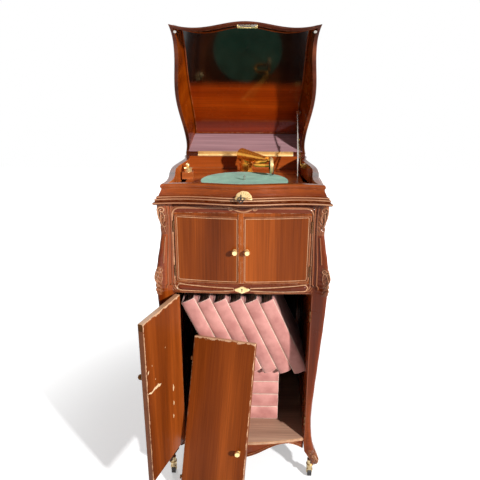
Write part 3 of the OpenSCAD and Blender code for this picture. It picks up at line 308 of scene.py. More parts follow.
def makeWood(name, look, turn=upright, ribbon=10.0, bands=()):
    # turn brings the piece's own grain direction onto Z; bands are worn edges: normal, place (mm) and
    # width (m), which is negative where the edge face itself isn't worn
    tones = {**woodUsual, **woods[look]}
    material, tree, shader = startMaterial(name)
    place = objectPlace(tree)
    turned = addNode(tree, "ShaderNodeMapping", {"Vector": place, "Rotation": turn}).outputs[0]
    grain = useGroup(tree, "grain", {"Vector": turned, "Ribbon Scale": ribbon})
    ramp = addNode(tree, "ShaderNodeValToRGB", {0: grain["Figure"]})
    ramp.color_ramp.elements[0].color = paint(tones["dark"])
    ramp.color_ramp.elements[1].color = paint(tones["light"])
    ramp.color_ramp.elements.new(0.5).color = paint(tones["mid"])
    fibre = ranged(tree, grain["Fibre"], 0.35, 0.65, 1 - tones["fibre"], 1.1)
    shade = addNode(tree, "ShaderNodeCombineColor", {0: fibre, 1: fibre, 2: fibre}).outputs[0]
    colour = mixColour(tree, 1.0, ramp.outputs[0], shade, "MULTIPLY")
    if tones["wear"]:
        rubbed = useGroup(tree, "wear", {"Amount": tones["wear"]})
        colour = mixColour(tree, rubbed["Mask"], colour, paint(tones["worn"]))
    for normal, spot, width in bands:
        edge = calc(tree, "SUBTRACT", measure(tree, "DOT_PRODUCT", place, normal), normal.dot(spot) * mm)
        rubbed = useGroup(tree, "edgeBand", {"Depth": edge, "Width": abs(width),
                                             "Face": 1.0 if width > 0 else tones["coveredFace"]})
        colour = mixColour(tree, rubbed["Mask"], colour, paint(woodUsual["worn"]))
    # painted shade: the panel is made darker above one height, standing in for the dark reflections and shade there
    if "dim" in tones:  # darkened above, from one height to another
        height = addNode(tree, "ShaderNodeSeparateXYZ", {0: place}).outputs["Z"]
        upper = ranged(tree, height, *tones["dim"], interpolation_type="SMOOTHSTEP")
        colour = mixColour(tree, upper, colour, paint(tones["dimmed"]))
    gloss = useGroup(tree, "smudge", dict(zip(("Low", "High"), tones["gloss"])))["Gloss"]
    fill(tree, shader, {"Base Color": colour, "Roughness": gloss, "Normal": relief(tree, grain["Height"], 0.12, 0.0006),
                        "Coat Weight": tones["coat"], "Coat Roughness": tones["coatRough"],
                        "Coat IOR": tones["coatIor"], "Specular IOR Level": tones["shine"]})
    return material


def metal(clean, dull, gloss, dulled, metallic=1.0):  # bright and tarnished tone, and how far the second one goes
    return {"clean": clean, "dull": dull, "gloss": gloss, "dulled": dulled, "metallic": metallic}


metals = {
    "paleBrass": metal((236, 206, 150), (196, 152, 92), (0.36, 0.5), 0.5, 0.55),
    # painted shade: a darkened copy of brass for fittings and hinge leaves that face away from the light
    "darkBrass": metal((92, 58, 28), (54, 32, 16), (0.3, 0.5), 0.7),
    "dullBrass": metal((168, 122, 66), (112, 74, 36), (0.3, 0.5), 0.6, 0.6),
    # dark metal for the sound box's back; on the lid key and its bow it is painted shadow, standing in for the key's
    # shadow on the lock plate
    "darkKey": metal((44, 38, 36), (24, 18, 16), (0.25, 0.45), 0.6, 0.4),
    "brass": metal((222, 178, 92), (150, 104, 48), (0.16, 0.36), 0.55),
    # painted light: a brighter, more orange copy of brass with less metal, so the tone arm reads as sunlit
    "armBrass": metal((246, 176, 70), (206, 124, 42), (0.2, 0.32), 0.4, 0.72),
    "knobBrass": metal((244, 216, 152), (214, 168, 96), (0.2, 0.34), 0.35, 0.7),
    "casterBrass": metal((226, 204, 160), (150, 122, 84), (0.3, 0.5), 0.6),
    "nickel": metal((206, 203, 196), (140, 132, 120), (0.14, 0.34), 0.4),
    "japan": metal((34, 34, 36), (58, 50, 44), (0.3, 0.5), 0.5, 0.0),
}


def metalGloss(tree, name):
    low, high = metals[name]["gloss"]
    return useGroup(tree, "smudge", {"Scale": 60.0, "Low": low, "High": high})["Gloss"]


def makeMetal(name):
    tones = metals[name]
    material, tree, shader = startMaterial(name)
    gloss = metalGloss(tree, name)
    cloud = useGroup(tree, "smudge", {"Scale": 34.0, "Low": 0.0, "High": tones["dulled"]})
    fill(tree, shader, {"Base Color": mixColour(tree, cloud["Gloss"], paint(tones["clean"]), paint(tones["dull"])),
                        "Roughness": gloss, "Normal": relief(tree, gloss, 0.05, 0.0001),
                        "Metallic": tones["metallic"]})
    return material


def makeFittings(name, near, far, centre, radius):  # one metal round a point, another one elsewhere
    material, tree, shader = startMaterial(name)
    gap = measure(tree, "DISTANCE", objectPlace(tree), [value * mm for value in centre])
    side = calc(tree, "GREATER_THAN", gap, radius * mm)
    fill(tree, shader, {"Base Color": mixColour(tree, side, paint(metals[near]["clean"]), paint(metals[far]["clean"])),
                        "Roughness": metalGloss(tree, near), "Metallic": metals[near]["metallic"]})
    return material


cloths = {
    "felt": {"low": (72, 144, 112), "high": (108, 182, 146), "threads": 1500.0, "rough": 0.95, "lift": 0.5},
    "albumCloth": {"low": (172, 110, 102), "high": (202, 140, 130), "threads": 2200.0, "rough": 0.7, "lift": 0.3,
                   "worn": (244, 222, 200)},
    "paper": {"low": (196, 176, 150), "high": (240, 228, 206), "threads": 600.0, "rough": 0.9, "lift": 0.2},
}
clothUsual = {"sheen": 0.25, "wear": {"Amount": 1.6, "Radius": 0.0035, "Breakup": 14.0}}


def makeCloth(name):
    tones = cloths[name]
    material, tree, shader = startMaterial(name)
    weave = useGroup(tree, "weave", {"Threads": tones["threads"]})
    colour = mixColour(tree, ranged(tree, weave["Fade"], 0.32, 0.66), paint(tones["low"]), paint(tones["high"]))
    # pale cream edges from the bevel mask: partly rubbed wear, partly a painted highlight along the albums' arrises
    if "worn" in tones:
        rubbed = useGroup(tree, "wear", clothUsual["wear"])
        colour = mixColour(tree, rubbed["Mask"], colour, paint(tones["worn"]))
    fill(tree, shader, {"Base Color": colour, "Normal": relief(tree, weave["Height"], tones["lift"], 0.0005),
                        "Roughness": tones["rough"], "Sheen Weight": clothUsual["sheen"]})
    return material


def makeInk():
    material, tree, shader = startMaterial("ink")
    gloss = useGroup(tree, "smudge", {"Scale": 300.0, "Low": 0.5, "High": 0.8})["Gloss"]
    fill(tree, shader, {"Base Color": paint((22, 18, 20)), "Roughness": gloss})
    return material


# turns that the standing-open pieces are made with, in millimetres

stance = {
    "lidAxis": (0, 282, 1120), "lidOpen": 55,
    "leftPivot": (-228.1, -271.6, 0), "leftOpen": 110,
    "leanYaw": 13.6, "leanBack": 19.8, "leanX": -219.96, "rowY": -200, "leanIn": 7.4,
    "doorThick": 20, "doorGap": 0.6, "hingeGap": 1.8, "seat": 0.3,
    "lowHalf": 229, "faceY": 268, "railZ": 748, "shelfZ": 165,
}


def about(pivot, degrees, axis):
    move = Matrix.Translation(pivot)
    return move @ Matrix.Rotation(math.radians(degrees), 4, axis) @ move.inverted()


def leaningTurn():
    s = stance
    yaw, back = math.radians(s["leanYaw"]), math.radians(s["leanBack"])
    top = s["railZ"] - s["shelfZ"] - s["doorGap"]
    reach = (math.cos(yaw) * (s["doorThick"] * math.cos(back) + top * math.sin(back))
             - s["hingeGap"] * math.sin(yaw))
    lift = s["doorThick"] * math.sin(back) + s["seat"] - s["doorGap"]
    foot = Matrix.Translation((s["leanX"], s["rowY"] + s["leanIn"] - s["seat"] - reach, lift))
    tilt = Matrix.Rotation(-yaw, 4, "Z") @ Matrix.Rotation(-back, 4, "X")
    shift = Matrix.Translation((s["lowHalf"], s["faceY"], s["railZ"]))
    return foot @ tilt @ shift @ Matrix.Rotation(math.pi, 4, "Y")


still = Matrix.Identity(4)
lidTurn = about(stance["lidAxis"], -stance["lidOpen"], "X")
leftTurn = about(stance["leftPivot"], -stance["leftOpen"], "Z")
rightTurn = leaningTurn()


def grainTurn(pose, axis="Z"):  # Mapping turn that brings a posed piece's grain axis onto Z
    onto = {"Z": still, "X": Matrix.Rotation(-math.pi / 2, 4, "Y")}
    return tuple((onto[axis] @ pose.inverted()).to_euler("XYZ"))


def band(turn, normal, spot, width):
    return turn.to_3x3() @ Vector(normal), turn @ Vector(spot), width


across, lidAcross = grainTurn(still, "X"), grainTurn(lidTurn, "X")
leftBands = [band(leftTurn, (0, 0, 1), (0, 0, 747.4), 0.004), band(leftTurn, (1, 0, 0), (-1.5, 0, 400), -0.0025)]
rightBands = [band(rightTurn, (0, 0, -1), (0, -268, 165.6), 0.005),
              band(rightTurn, (-1, 0, 0), (1.5, 0, 400), -0.0016),
              band(rightTurn, (1, 0, 0), (227.2, 0, 400), -0.002)]
woodUses = {
    # look, grain turn, scale of the ribbon figure, worn edges
    "uprightWood": ("caseWood",), "crossWood": ("caseWood", across),
    "doorWood": ("doorWood", upright, 13.0),
    "leftDoorWood": ("doorWood", grainTurn(leftTurn), 13.0, leftBands),
    "rightDoorWood": ("doorWood", grainTurn(rightTurn), 13.0, rightBands),
    "lidOuterWood": ("rimWood", lidAcross), "lidInnerWood": ("lidWood", lidAcross),
    "mirrorWood": ("mirrorWood", lidAcross), "maroonBoard": ("boardWood", lidAcross),
    "deckWood": ("wellWood", across), "shelfWood": ("shelfWood", across), "blockWood": ("blockWood", across),
    "innerWood": ("innerWood",), "ridgeWood": ("ridgeWood", across, 30.0), "beadWood": ("beadWood", upright, 40.0),
    "carvedWood": ("carvedWood", upright, 30.0), "trimWood": ("trimWood", upright, 30.0),
    "paleEdge": ("paleEdge", upright, 60.0), "chipWood": ("chipWood", upright, 60.0),
}
fittingUses = {
    # metal near a point, metal elsewhere, the point and the radius round it
    # the metal elsewhere is the painted-shade copy of brass
    "upperLeftMetal": ("knobBrass", "darkBrass", (-25, -281, 897), 18),
    "upperRightMetal": ("knobBrass", "darkBrass", (15, -281, 897), 18),
    "lowerRightMetal": ("knobBrass", "darkBrass", rightTurn @ Vector((17, -286, 545)), 32),
    "hingeMetal": ("paleBrass", "darkBrass", (0, 282, 1120), 240),
}
materials = {"ink": makeInk()}
for make, table in ((makeWood, woodUses), (makeFittings, fittingUses)):
    for name, values in table.items():
        materials[name] = make(name, *values)
for make, table in ((makeMetal, metals), (makeCloth, cloths)):
    for name in table:
        materials[name] = make(name)
print("materials:", len(materials))


# mesh helpers, all in millimetres until a piece is finished

def mix(a, b, t):
    return a + (b - a) * t


def spread(a, b, count):
    return [mix(a, b, i / (count - 1)) for i in range(count)]


def smoothLine(points, x):  # a curve through (x, value) pairs without overshoot
    if x <= points[0][0]:
        return points[0][1]
    for (x0, y0), (x1, y1) in zip(points, points[1:]):
        if x <= x1:
            t = (x - x0) / (x1 - x0)
            return mix(y0, y1, t * t * (3 - 2 * t) * 0.45 + t * 0.55)
    return points[-1][1]


def addRings(bm, rings, slot=0, caps=True):
    rows = [[bm.verts.new(p) for p in ring] for ring in rings]
    made = []
    for low, high in zip(rows, rows[1:]):
        for j in range(len(low)):
            k = (j + 1) % len(low)
            made.append(bm.faces.new((low[j], low[k], high[k], high[j])))
    if caps:
        made += [bm.faces.new(list(reversed(rows[0]))), bm.faces.new(rows[-1])]
    for face in made:
        face.material_index = slot
    return made


def addShell(bm, rings, slot=0):
    bmesh.ops.recalc_face_normals(bm, faces=addRings(bm, rings, slot))


def addBox(bm, low, high, radius=0.0):
    part = bmesh.new()
    bmesh.ops.create_cube(part, size=1)
    size = [high[i] - low[i] for i in range(3)]
    for vert in part.verts:
        vert.co = Vector([low[i] + (vert.co[i] + 0.5) * size[i] for i in range(3)])
    if radius:
        bmesh.ops.bevel(part, geom=part.edges[:], offset=min(radius, min(size) * 0.45), segments=2,
                        profile=0.5, affect="EDGES")
    moveInto(bm, part)


def circle(sides):
    return [2 * math.pi * i / sides for i in range(sides)]


def addLathe(bm, profile, turn=still, slot=0, sides=40):  # profile: (radius, height) pairs about Z
    part = bmesh.new()
    addRings(part, [[(r * math.cos(a), r * math.sin(a), h) for a in circle(sides)] for r, h in profile])
    bmesh.ops.remove_doubles(part, verts=part.verts, dist=0.0005)
    moveInto(bm, part, turn, slot)


def addTube(bm, path, radii, sides):
    part = bmesh.new()
    points = [Vector(p) for p in path]
    rings, side = [], None
    for i, point in enumerate(points):
        ahead = (points[min(i + 1, len(points) - 1)] - points[max(i - 1, 0)]).normalized()
        if side is None:
            side = ahead.orthogonal().normalized()
        side = (side - ahead * side.dot(ahead)).normalized()
        up = ahead.cross(side)
        rings.append([point + radii[i] * (math.cos(a) * side + math.sin(a) * up) for a in circle(sides)])
    addRings(part, rings)
    moveInto(bm, part)


def moveInto(bm, part, turn=still, slot=0):
    bmesh.ops.recalc_face_normals(part, faces=part.faces[:])
    mesh = bpy.data.meshes.new("part")
    part.to_mesh(mesh)
    part.free()
    mesh.transform(turn)
    before = len(bm.faces)
    bm.from_mesh(mesh)
    bm.faces.ensure_lookup_table()
    for face in bm.faces[before:]:
        face.material_index = slot
    bpy.data.meshes.remove(mesh)


def along(axis, place):  # turns a lathe's Z onto an axis, at a place
    return Matrix.Translation(place) @ Vector(axis).to_track_quat("Z", "Y").to_matrix().to_4x4()


def markInward(bm, limit):  # second look on the faces that face the middle of the cabinet
    for face in bm.faces:
        centre = face.calc_center_median()
        if centre.x * face.normal.x + (centre.y - rim["middle"]) * face.normal.y < 0 and limit(face.normal.z):
            face.material_index = 1


def addPiece(bm, name, looks, replaces=(), body="cabinet", turn=still, recalc=False):
    bmesh.ops.transform(bm, matrix=turn, verts=bm.verts[:])
    if recalc:
        bmesh.ops.recalc_face_normals(bm, faces=bm.faces[:])
    mesh = bpy.data.meshes.new(name)
    bm.to_mesh(mesh)
    bm.free()
    mesh.transform(Matrix.Scale(mm, 4))
    placeMesh(mesh, name, looks, replaces, body)


def placeMesh(mesh, name, looks, replaces, body, sharp=38):
    if mesh.materials:  # clearing also resets the faces' slots
        mesh.materials.clear()
    for look in looks:
        mesh.materials.append(materials[look])
    mesh.shade_smooth()
    mesh.set_sharp_from_angle(angle=math.radians(sharp))
    obj = bpy.data.objects.new(name, mesh)
    scene.collection.objects.link(obj)
    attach(obj, body)
    if replaces:
        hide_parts(*replaces)


# geometry nodes: beads that follow a path

def buildBeadTree():
    tree = bpy.data.node_groups.new("beadRun", "GeometryNodeTree")
    for label, kind in (("Geometry", "Geometry"), ("Radius", "Float"), ("Sides", "Int"), ("Material", "Material")):
        tree.interface.new_socket(label, in_out="INPUT", socket_type="NodeSocket" + kind)
    tree.interface.new_socket("Geometry", in_out="OUTPUT", socket_type="NodeSocketGeometry")
    given = tree.nodes.new("NodeGroupInput").outputs
    section = addNode(tree, "GeometryNodeCurvePrimitiveCircle", {"Resolution": given["Sides"],
                      "Radius": given["Radius"]})
    swept = addNode(tree, "GeometryNodeCurveToMesh", {0: given[0], 1: section.outputs[0], "Fill Caps": True})
    real = addNode(tree, "GeometryNodeRealizeInstances", {0: swept.outputs[0]})
    painted = addNode(tree, "GeometryNodeSetMaterial", {0: real.outputs[0], 2: given["Material"]})
    addNode(tree, "NodeGroupOutput", {0: painted.outputs[0]})
    return tree


beadTree = buildBeadTree()
print("geometry trees: 1")


def socketKey(tree, label):
    return next(item.identifier for item in tree.interface.items_tree
                if item.name == label and item.in_out == "INPUT")


def addBeads(name, paths, radius, look, body="cabinet", turn=still, sides=10):
    # paths: points, and whether the run is closed
    curve = bpy.data.curves.new(name, "CURVE")
    curve.dimensions = "3D"
    for path, cyclic in paths:
        spline = curve.splines.new("POLY")
        spline.points.add(len(path) - 1)
        for point, place in zip(spline.points, path):
            point.co = (*(turn @ Vector(place) * mm), 1)
        spline.use_cyclic_u = cyclic
    obj = bpy.data.objects.new(name + "Path", curve)
    scene.collection.objects.link(obj)
    modifier = obj.modifiers.new(beadTree.name, "NODES")
    modifier.node_group = beadTree
    for label, value in (("Radius", radius * mm), ("Sides", sides), ("Material", materials[look])):
        modifier[socketKey(beadTree, label)] = value
    bpy.context.view_layer.update()
    mesh = bpy.data.meshes.new_from_object(obj.evaluated_get(bpy.context.evaluated_depsgraph_get()))
    obj.modifiers.remove(modifier)
    bpy.data.objects.remove(obj)
    placeMesh(mesh, name, [look], (), body, sharp=60)


# plan of the rim and outline of the posts

rim = {"half": 250, "front": 290, "back": 277, "sideTrough": 0.78, "frontTrough": 0.68,
       "sideBulge": 18.5, "sideHollow": 8.5, "frontBulge": 22, "frontHollow": 12, "z": 1119, "wall": 18, "middle": -6}


def swell(u, trough, high, tip):
    if abs(u) < trough:
        return high * (1 + math.cos(math.pi * u / trough)) / 2
    return tip * ((abs(u) - trough) / (1 - trough)) ** 2


def rimX(y):
    middle = (rim["back"] - rim["front"]) / 2
    u = (y - middle) / ((rim["back"] + rim["front"]) / 2)
    return rim["half"] - rim["sideHollow"] + swell(u, rim["sideTrough"], rim["sideBulge"], rim["sideHollow"])


def rimY(x):
    return (rim["front"] - rim["frontHollow"]
            + swell(x / rim["half"], rim["frontTrough"], rim["frontBulge"], rim["frontHollow"]))


def planRing(side, z, front=None, back=None, taper=0, straight=0):
    # side, front and back move each wall out; taper draws the sides in towards the back
    front = side if front is None else front
    back = min(side, 0) if back is None else back
    deep = rim["front"] + rim["back"]
    xs = spread(-rim["half"], rim["half"], 57)[1:-1]
    ring = [(x * (1 + side / rim["half"]), -(rimY(x) + front), z) for x in xs]
    walls = []
    for y in spread(-rim["front"], rim["back"], 41):
        scale = 1 + (front / rim["front"] if y < 0 else back / rim["back"])
        half = mix(rimX(y), rim["half"], straight)
        walls.append((half + side + taper * (y + rim["front"]) / deep, y * scale))
    ring += [(x, y, z) for x, y in walls]
    return ring + [(-x, y, z) for x, y in reversed(walls)]


post = {
    "outline": [(62, 274), (72, 281), (84, 284), (95, 284), (110, 277), (127, 271), (150, 265), (175, 261),
                (216, 257), (250, 255.5), (300, 257), (387, 262.5), (470, 268), (548, 273), (640, 279),
                (700, 282), (750, 284), (800, 284.5), (840, 283), (875, 278), (915, 270.5), (950, 265),
                (985, 262.5), (1015, 264), (1035, 268), (1056, 274)],
    "inside": [(62, 29), (80, 27), (95, 22), (106, 12), (118, 3), (153, 0)],
    "front": [(62, 21), (84, 26), (95, 26), (110, 17), (127, 9), (150, 2), (175, 0)],
    "lowHalf": 229, "upHalf": 220, "midZ": 784, "depth": 70, "sideX": 250, "fillet": 30,
    "corner": {"front": 283, "back": 238}, "face": 268, "step": 6, "fineStep": 1.6,
}


def arrisLegs(z, corner):
    wide, grow, inset = (smoothLine(post[key], z) for key in ("outline", "front", "inside"))
    face = post["face"]
    inner = (post["upHalf"] if z > post["midZ"] else post["lowHalf"]) + inset
    deep = face - post["depth"] + inset * 1.6
    a = Vector((inner, -(face + grow)))
    c = Vector((wide, -max(corner + wide - 261, face + grow)))
    b = Vector((post["sideX"] + grow, -deep))
    return inner, deep, a, b, c


carving = {
    "zones": [
        # lowest and highest level, height of a lobe, depth, which way the leaf points
        (955, 1054, 17, 8, 1), (750, 850, 15, 7, -1), (64, 126, 13, 6, 1),
    ],
    "slant": 1.1, "ribWide": 0.16, "faceLimit": 20,  # larger faces in a zone aren't carved
    "volutes": [
        # level of the eye, place across the face (0 to 1), size, turn sense, veins' ends
        (1036, 0.7, 11, 1, 962), (838, 0.72, 9, -1, 760), (104, 0.66, 9, 1, 70),
    ],
    "turns": 1.5, "spans": {"front": 50, "side": 80},
    "eye": 0.12, "bulk": (1.0, 2.6, 0.5), "sway": 0.13,  # radii at the eye, the coil's end and the stem's end
    "veins": ((-0.14, 0.7), (0.12, 0.82)), "veinBulk": 1.9,
    "looks": ["uprightWood", "carvedWood"],
}


def carvedDepth(z, u):  # how far the carving stands out; u runs from -1 to 1 over the rounded corner
    for low, high, pitch, deep, towards in carving["zones"]:
        if low < z < high:
            t = (z - low) / (high - low)
            fade = min(1, 6 * t, 6 * (1 - t)) * (0.55 + 0.45 * (t if towards > 0 else 1 - t))
            wave = z - towards * abs(u) * pitch * carving["slant"]
            lobe = abs(math.sin(math.pi * wave / pitch)) ** 0.55
            rib = math.exp(-((u / carving["ribWide"]) ** 2))
            return deep * fade * (1 - abs(u) ** 6) * (0.75 * lobe - 0.3 + 0.7 * rib)
    return 0


def postRing(z, corner):
    inner, deep, a, b, c = arrisLegs(z, corner)
    ra, rb = (a - c).normalized() * post["fillet"], (b - c).normalized() * post["fillet"]
    rounded = []
    for t in spread(0, 1, 28):
        spot = (1 - t) ** 2 * (c + ra) + 2 * t * (1 - t) * c + t * t * (c + rb)
        slope = 2 * t * rb - 2 * (1 - t) * ra
        out = Vector((-slope.y, slope.x)).normalized()
        if out.dot(c - (a + b) / 2) < 0:
            out = -out
        rounded.append(spot + out * carvedDepth(z, 2 * t - 1))
    return [(inner, -deep, z), (a.x, a.y, z)] + [(p.x, p.y, z) for p in rounded] + [(b.x, b.y, z)]


def postLevels():
    low, high, mid = post["outline"][0][0], post["outline"][-1][0], post["midZ"]
    runs = [(low, mid, post["step"]), (mid + 1, high, post["step"])]
    runs += [(bottom, top, post["fineStep"]) for bottom, top, *rest in carving["zones"]]
    levels = sorted(z for a, b, step in runs for z in spread(a, b, round((b - a) / step)))
    return [z for z, after in zip(levels, levels[1:] + [high + 9]) if after - z > 0.4]


def cornerTurn(side, back=False):  # brings a shape made on the front right post onto another one
    return Matrix.Diagonal((side, -1 if back else 1, 1, 1))


def addPosts():
    for name, node, corner, sides in (("postFrontLeft", "post_front_left", "front", [-1]),
                                      ("postFrontRight", "post_front_right", "front", [1]),
                                      ("rearPosts", "rear_posts", "back", [-1, 1])):
        bm = bmesh.new()
        for side in sides:
            turn = cornerTurn(side, corner == "back")
            addShell(bm, [[turn @ Vector(p) for p in postRing(z, post["corner"][corner])] for z in postLevels()])
        for face in bm.faces:
            level = face.calc_center_median().z
            carved = any(low < level < high for low, high, *rest in carving["zones"])
            face.material_index = int(carved and face.calc_area() < carving["faceLimit"])
        addPiece(bm, name, carving["looks"], [node])
    print("posts: 3 pieces")


def legPoint(z, across, out, leg="front"):  # on a post's flat front or side face
    inner, deep, a, b, c = arrisLegs(z, post["corner"]["front"])
    start = a if leg == "front" else b
    run = c - start
    normal = Vector((run.y, -run.x)).normalized()
    if normal.dot(c - (a + b) / 2) < 0:
        normal = -normal
    return Vector((*(start + run * across + normal * out), z))


def volute(bm, leg, z, across, size, sense, end):  # a coil round its eye, with a stem and two veins
    c, path, radii = carving, [], []
    span, (thin, thick, tip) = c["spans"][leg], [radius * size / 10 for radius in c["bulk"]]
    for t in spread(0, 1, 40):
        angle = c["turns"] * 2 * math.pi * (1 - t)
        radius = size * mix(c["eye"], 1, t)
        path.append(legPoint(z + sense * radius * math.sin(angle), across + radius * math.cos(angle) / span, 0.2, leg))
        radii.append(mix(thin, thick, t))
    reach = path[-1]
    for t in spread(0.04, 1, 26):
        sway = c["sway"] * math.sin(math.pi * t * 1.5)
        path.append(legPoint(mix(reach.z, end, t), across + size / span * (1 - t) + sway - 0.02, 0.1, leg))
        radii.append(mix(thick, tip, t))
    addTube(bm, path, radii, sides=12)
    for shift, length in c["veins"]:
        steps = spread(0.1, 1, 20)
        vein = [legPoint(mix(z, end, t * length), across + shift * math.sin(math.pi * t) + 0.06 * t, 0.0, leg)
                for t in steps]
        bulks = [c["veinBulk"] * math.sin(math.pi * min(t + 0.05, 0.98)) ** 0.6 * size / 10 for t in steps]
        addTube(bm, vein, bulks, sides=10)


def addCarving():
    for name, side in (("carvedScrollsFrontLeft", -1), ("carvedScrollsFrontRight", 1)):
        bm = bmesh.new()
        for leg in carving["spans"]:
            for values in carving["volutes"]:
                volute(bm, leg, *values)
        addPiece(bm, name, ["ridgeWood"], turn=cornerTurn(side), recalc=True)
    print("carving: 2 pieces")


# top case and lid

caseProfile = {
    "moulding": [(6, 1056), (13, 1056.5), (19, 1058), (23, 1060.5), (24, 1063), (23.4, 1065.4), (21, 1067),
                 (17.5, 1067.6), (16.4, 1068.2), (17.6, 1069), (18, 1070.4), (16.6, 1071.6), (15, 1072)],
    "case": [(15, 1072), (17, 1073), (17.4, 1074.6), (16, 1076), (12.4, 1076.8), (11.4, 1077.8), (12.8, 1079),
             (12.8, 1081.4), (11, 1083.4), (7.2, 1084.6), (5.6, 1085.4), (6, 1086.6), (5, 1090), (3, 1094), (1, 1098),
             (-0.8, 1102), (-1.6, 1104.6), (-2.6, 1105.4), (-1.4, 1106.4), (1, 1108), (2, 1110.5),
             (2, 1113.5), (1, 1116.5), (-1, 1119)],
    "filler": {"from": 197.5, "to": 246, "radius": 4.6, "y": 282, "z": 1120},  # wooden, in line with the hinge
}


caseBeads = {
    # look, radius, and how far out and how high each bead runs
    "caseRidges": ("ridgeWood", 2.2, ((12.2, 1080.8), (16.6, 1074.4), (22.6, 1063.2))),
    "caseLip": ("trimWood", 1.7, ((1.2, 1112), (-2.0, 1105.0))),
}


def addTopCase():
    for name, node, profile in (("baseMoulding", "base_moulding", "moulding"), ("topCase", "top_case", "case")):
        bm = bmesh.new()
        outer = [planRing(grow, z) for grow, z in caseProfile[profile]]
        top, low = caseProfile[profile][-1][1], caseProfile[profile][0][1]
        inner = [planRing(-rim["wall"], top), planRing(-rim["wall"], low)]
        addRings(bm, outer + inner + [outer[0]], caps=False)
        bmesh.ops.remove_doubles(bm, verts=bm.verts, dist=0.001)
        bmesh.ops.recalc_face_normals(bm, faces=bm.faces[:])
        markInward(bm, lambda up: abs(up) < 0.5)
        if profile == "case":
            f = caseProfile["filler"]
            long = f["to"] - f["from"]
            for x in (f["from"], -f["to"]):
                addLathe(bm, [(0.01, 0), (f["radius"], 0), (f["radius"], long), (0.01, long)],
                         along((1, 0, 0), (x, f["y"], f["z"])), sides=20)
        # the inner faces take the lighter, painted-light copy of the wood
        addPiece(bm, name, ["crossWood", "deckWood"], [node])
    for name, (look, radius, levels) in caseBeads.items():
        addBeads(name, [(planRing(grow, z), True) for grow, z in levels], radius, look)
    print("top case: 4 pieces")


lid = {
    # how far side, front and back stand out from the rim, and the height above the lid's edge
    "outside": [(-4.5, -5, 0, 0), (-3, -3.4, 0, 1.4), (-2.2, -2.8, 0, 4), (-2.8, -4.4, 0, 7), (-4.6, -9, 0, 9.5),
                (-5.2, -12, -1, 11.5), (-5, -15, -1, 15), (-5.4, -19, -2, 24), (-6.2, -25, -3, 36),
                (-7.4, -32, -4, 50), (-9.4, -40, -6, 64), (-12, -48, -9, 76), (-16, -56, -14, 87),
                (-22, -65, -22, 97), (-30, -76, -32, 106), (-40, -88, -42, 113), (-42, -92, -44, 116),
                (-44, -94, -46, 121), (-49, -100, -51, 129), (-58, -109, -59, 136), (-72, -122, -72, 142),
                (-90, -139, -90, 146), (-120, -165, -120, 149)],
    "inside": [(-15.5, -14, -14, 0), (-16.5, -18, -16, 20), (-19, -34, -20, 48), (-22, -52, -25, 76),
               (-28, -70, -30, 98)],
    "taper": -13, "taperHigh": 101, "straight": 0.85, "panelGap": 1.5, "panelThick": 5, "skyReflectionBehind": 200,
    "panelBead": [(-0.5, 0, -8), (-4, -4, -8), (-5, -5, -5)],  # in from the panel's edge, and up from its face
    "strike": {"bars": [((-25, -287.5), (-3, -275.5)), ((19, -287.5), (41, -275.5)), ((-4, -287.5), (20, -284)),
                        ((-4, -279), (20, -275.5))],
               "low": 1119.9, "high": 1121.1, "radius": 0.4, "screws": (-18, 34),
               "screw": [(0.01, 0), (2.6, 0), (2.2, 0.5), (0.01, 0.7)], "screwY": -281.5, "screwZ": 1120.1},
}


def lidRing(level, taper=0):
    side, front, back, high = level
    deep = min(high, lid["taperHigh"]) / lid["taperHigh"] if taper else 0
    return planRing(side, rim["z"] + 2 + high, front, back, taper * deep, lid["straight"] * deep)


def addLid():
    bm = bmesh.new()
    outer = [lidRing(level) for level in reversed(lid["outside"])]
    inner = [lidRing(level, lid["taper"]) for level in lid["inside"]]
    addShell(bm, outer + inner)
    markInward(bm, lambda up: up < 0.5)
    for face in bm.faces:
        # painted reflection: inner faces that face forward behind this depth take the sky-reflection tone
        if face.material_index and face.normal.y < -0.6 and face.calc_center_median().y > lid["skyReflectionBehind"]:
            face.material_index = 2
    addPiece(bm, "lidShell", ["lidOuterWood", "lidInnerWood", "maroonBoard"], ["lid_shell"], "lid", turn=lidTurn)
    bm = bmesh.new()
    side, front, back, high = lid["inside"][-1]
    gap, thick = lid["panelGap"], lid["panelThick"]
    panel = [(side - gap, front - gap, back - gap, level) for level in (high - thick, high)]
    bead = [(side + out, front + ahead, back + out, high + up) for out, ahead, up in lid["panelBead"]]
    addRings(bm, [lidRing(level, lid["taper"]) for level in panel])
    addRings(bm, [lidRing(level, lid["taper"]) for level in bead], slot=1, caps=False)
    addPiece(bm, "lidPanel", ["mirrorWood", "lidInnerWood"], ["lid_panel"], "lid", lidTurn, True)
    bm = bmesh.new()
    s = lid["strike"]
    for low, high in s["bars"]:
        addBox(bm, (*low, s["low"]), (*high, s["high"]), s["radius"])
    for x in s["screws"]:
        addLathe(bm, s["screw"], along((0, 0, -1), (x, s["screwY"], s["screwZ"])), sides=16)
    addPiece(bm, "lidStrike", ["knobBrass"], (), "lid", lidTurn)
    print("lid: 3 pieces")


# front frame: beads on the posts and rails, and the raised figure on the lower rail

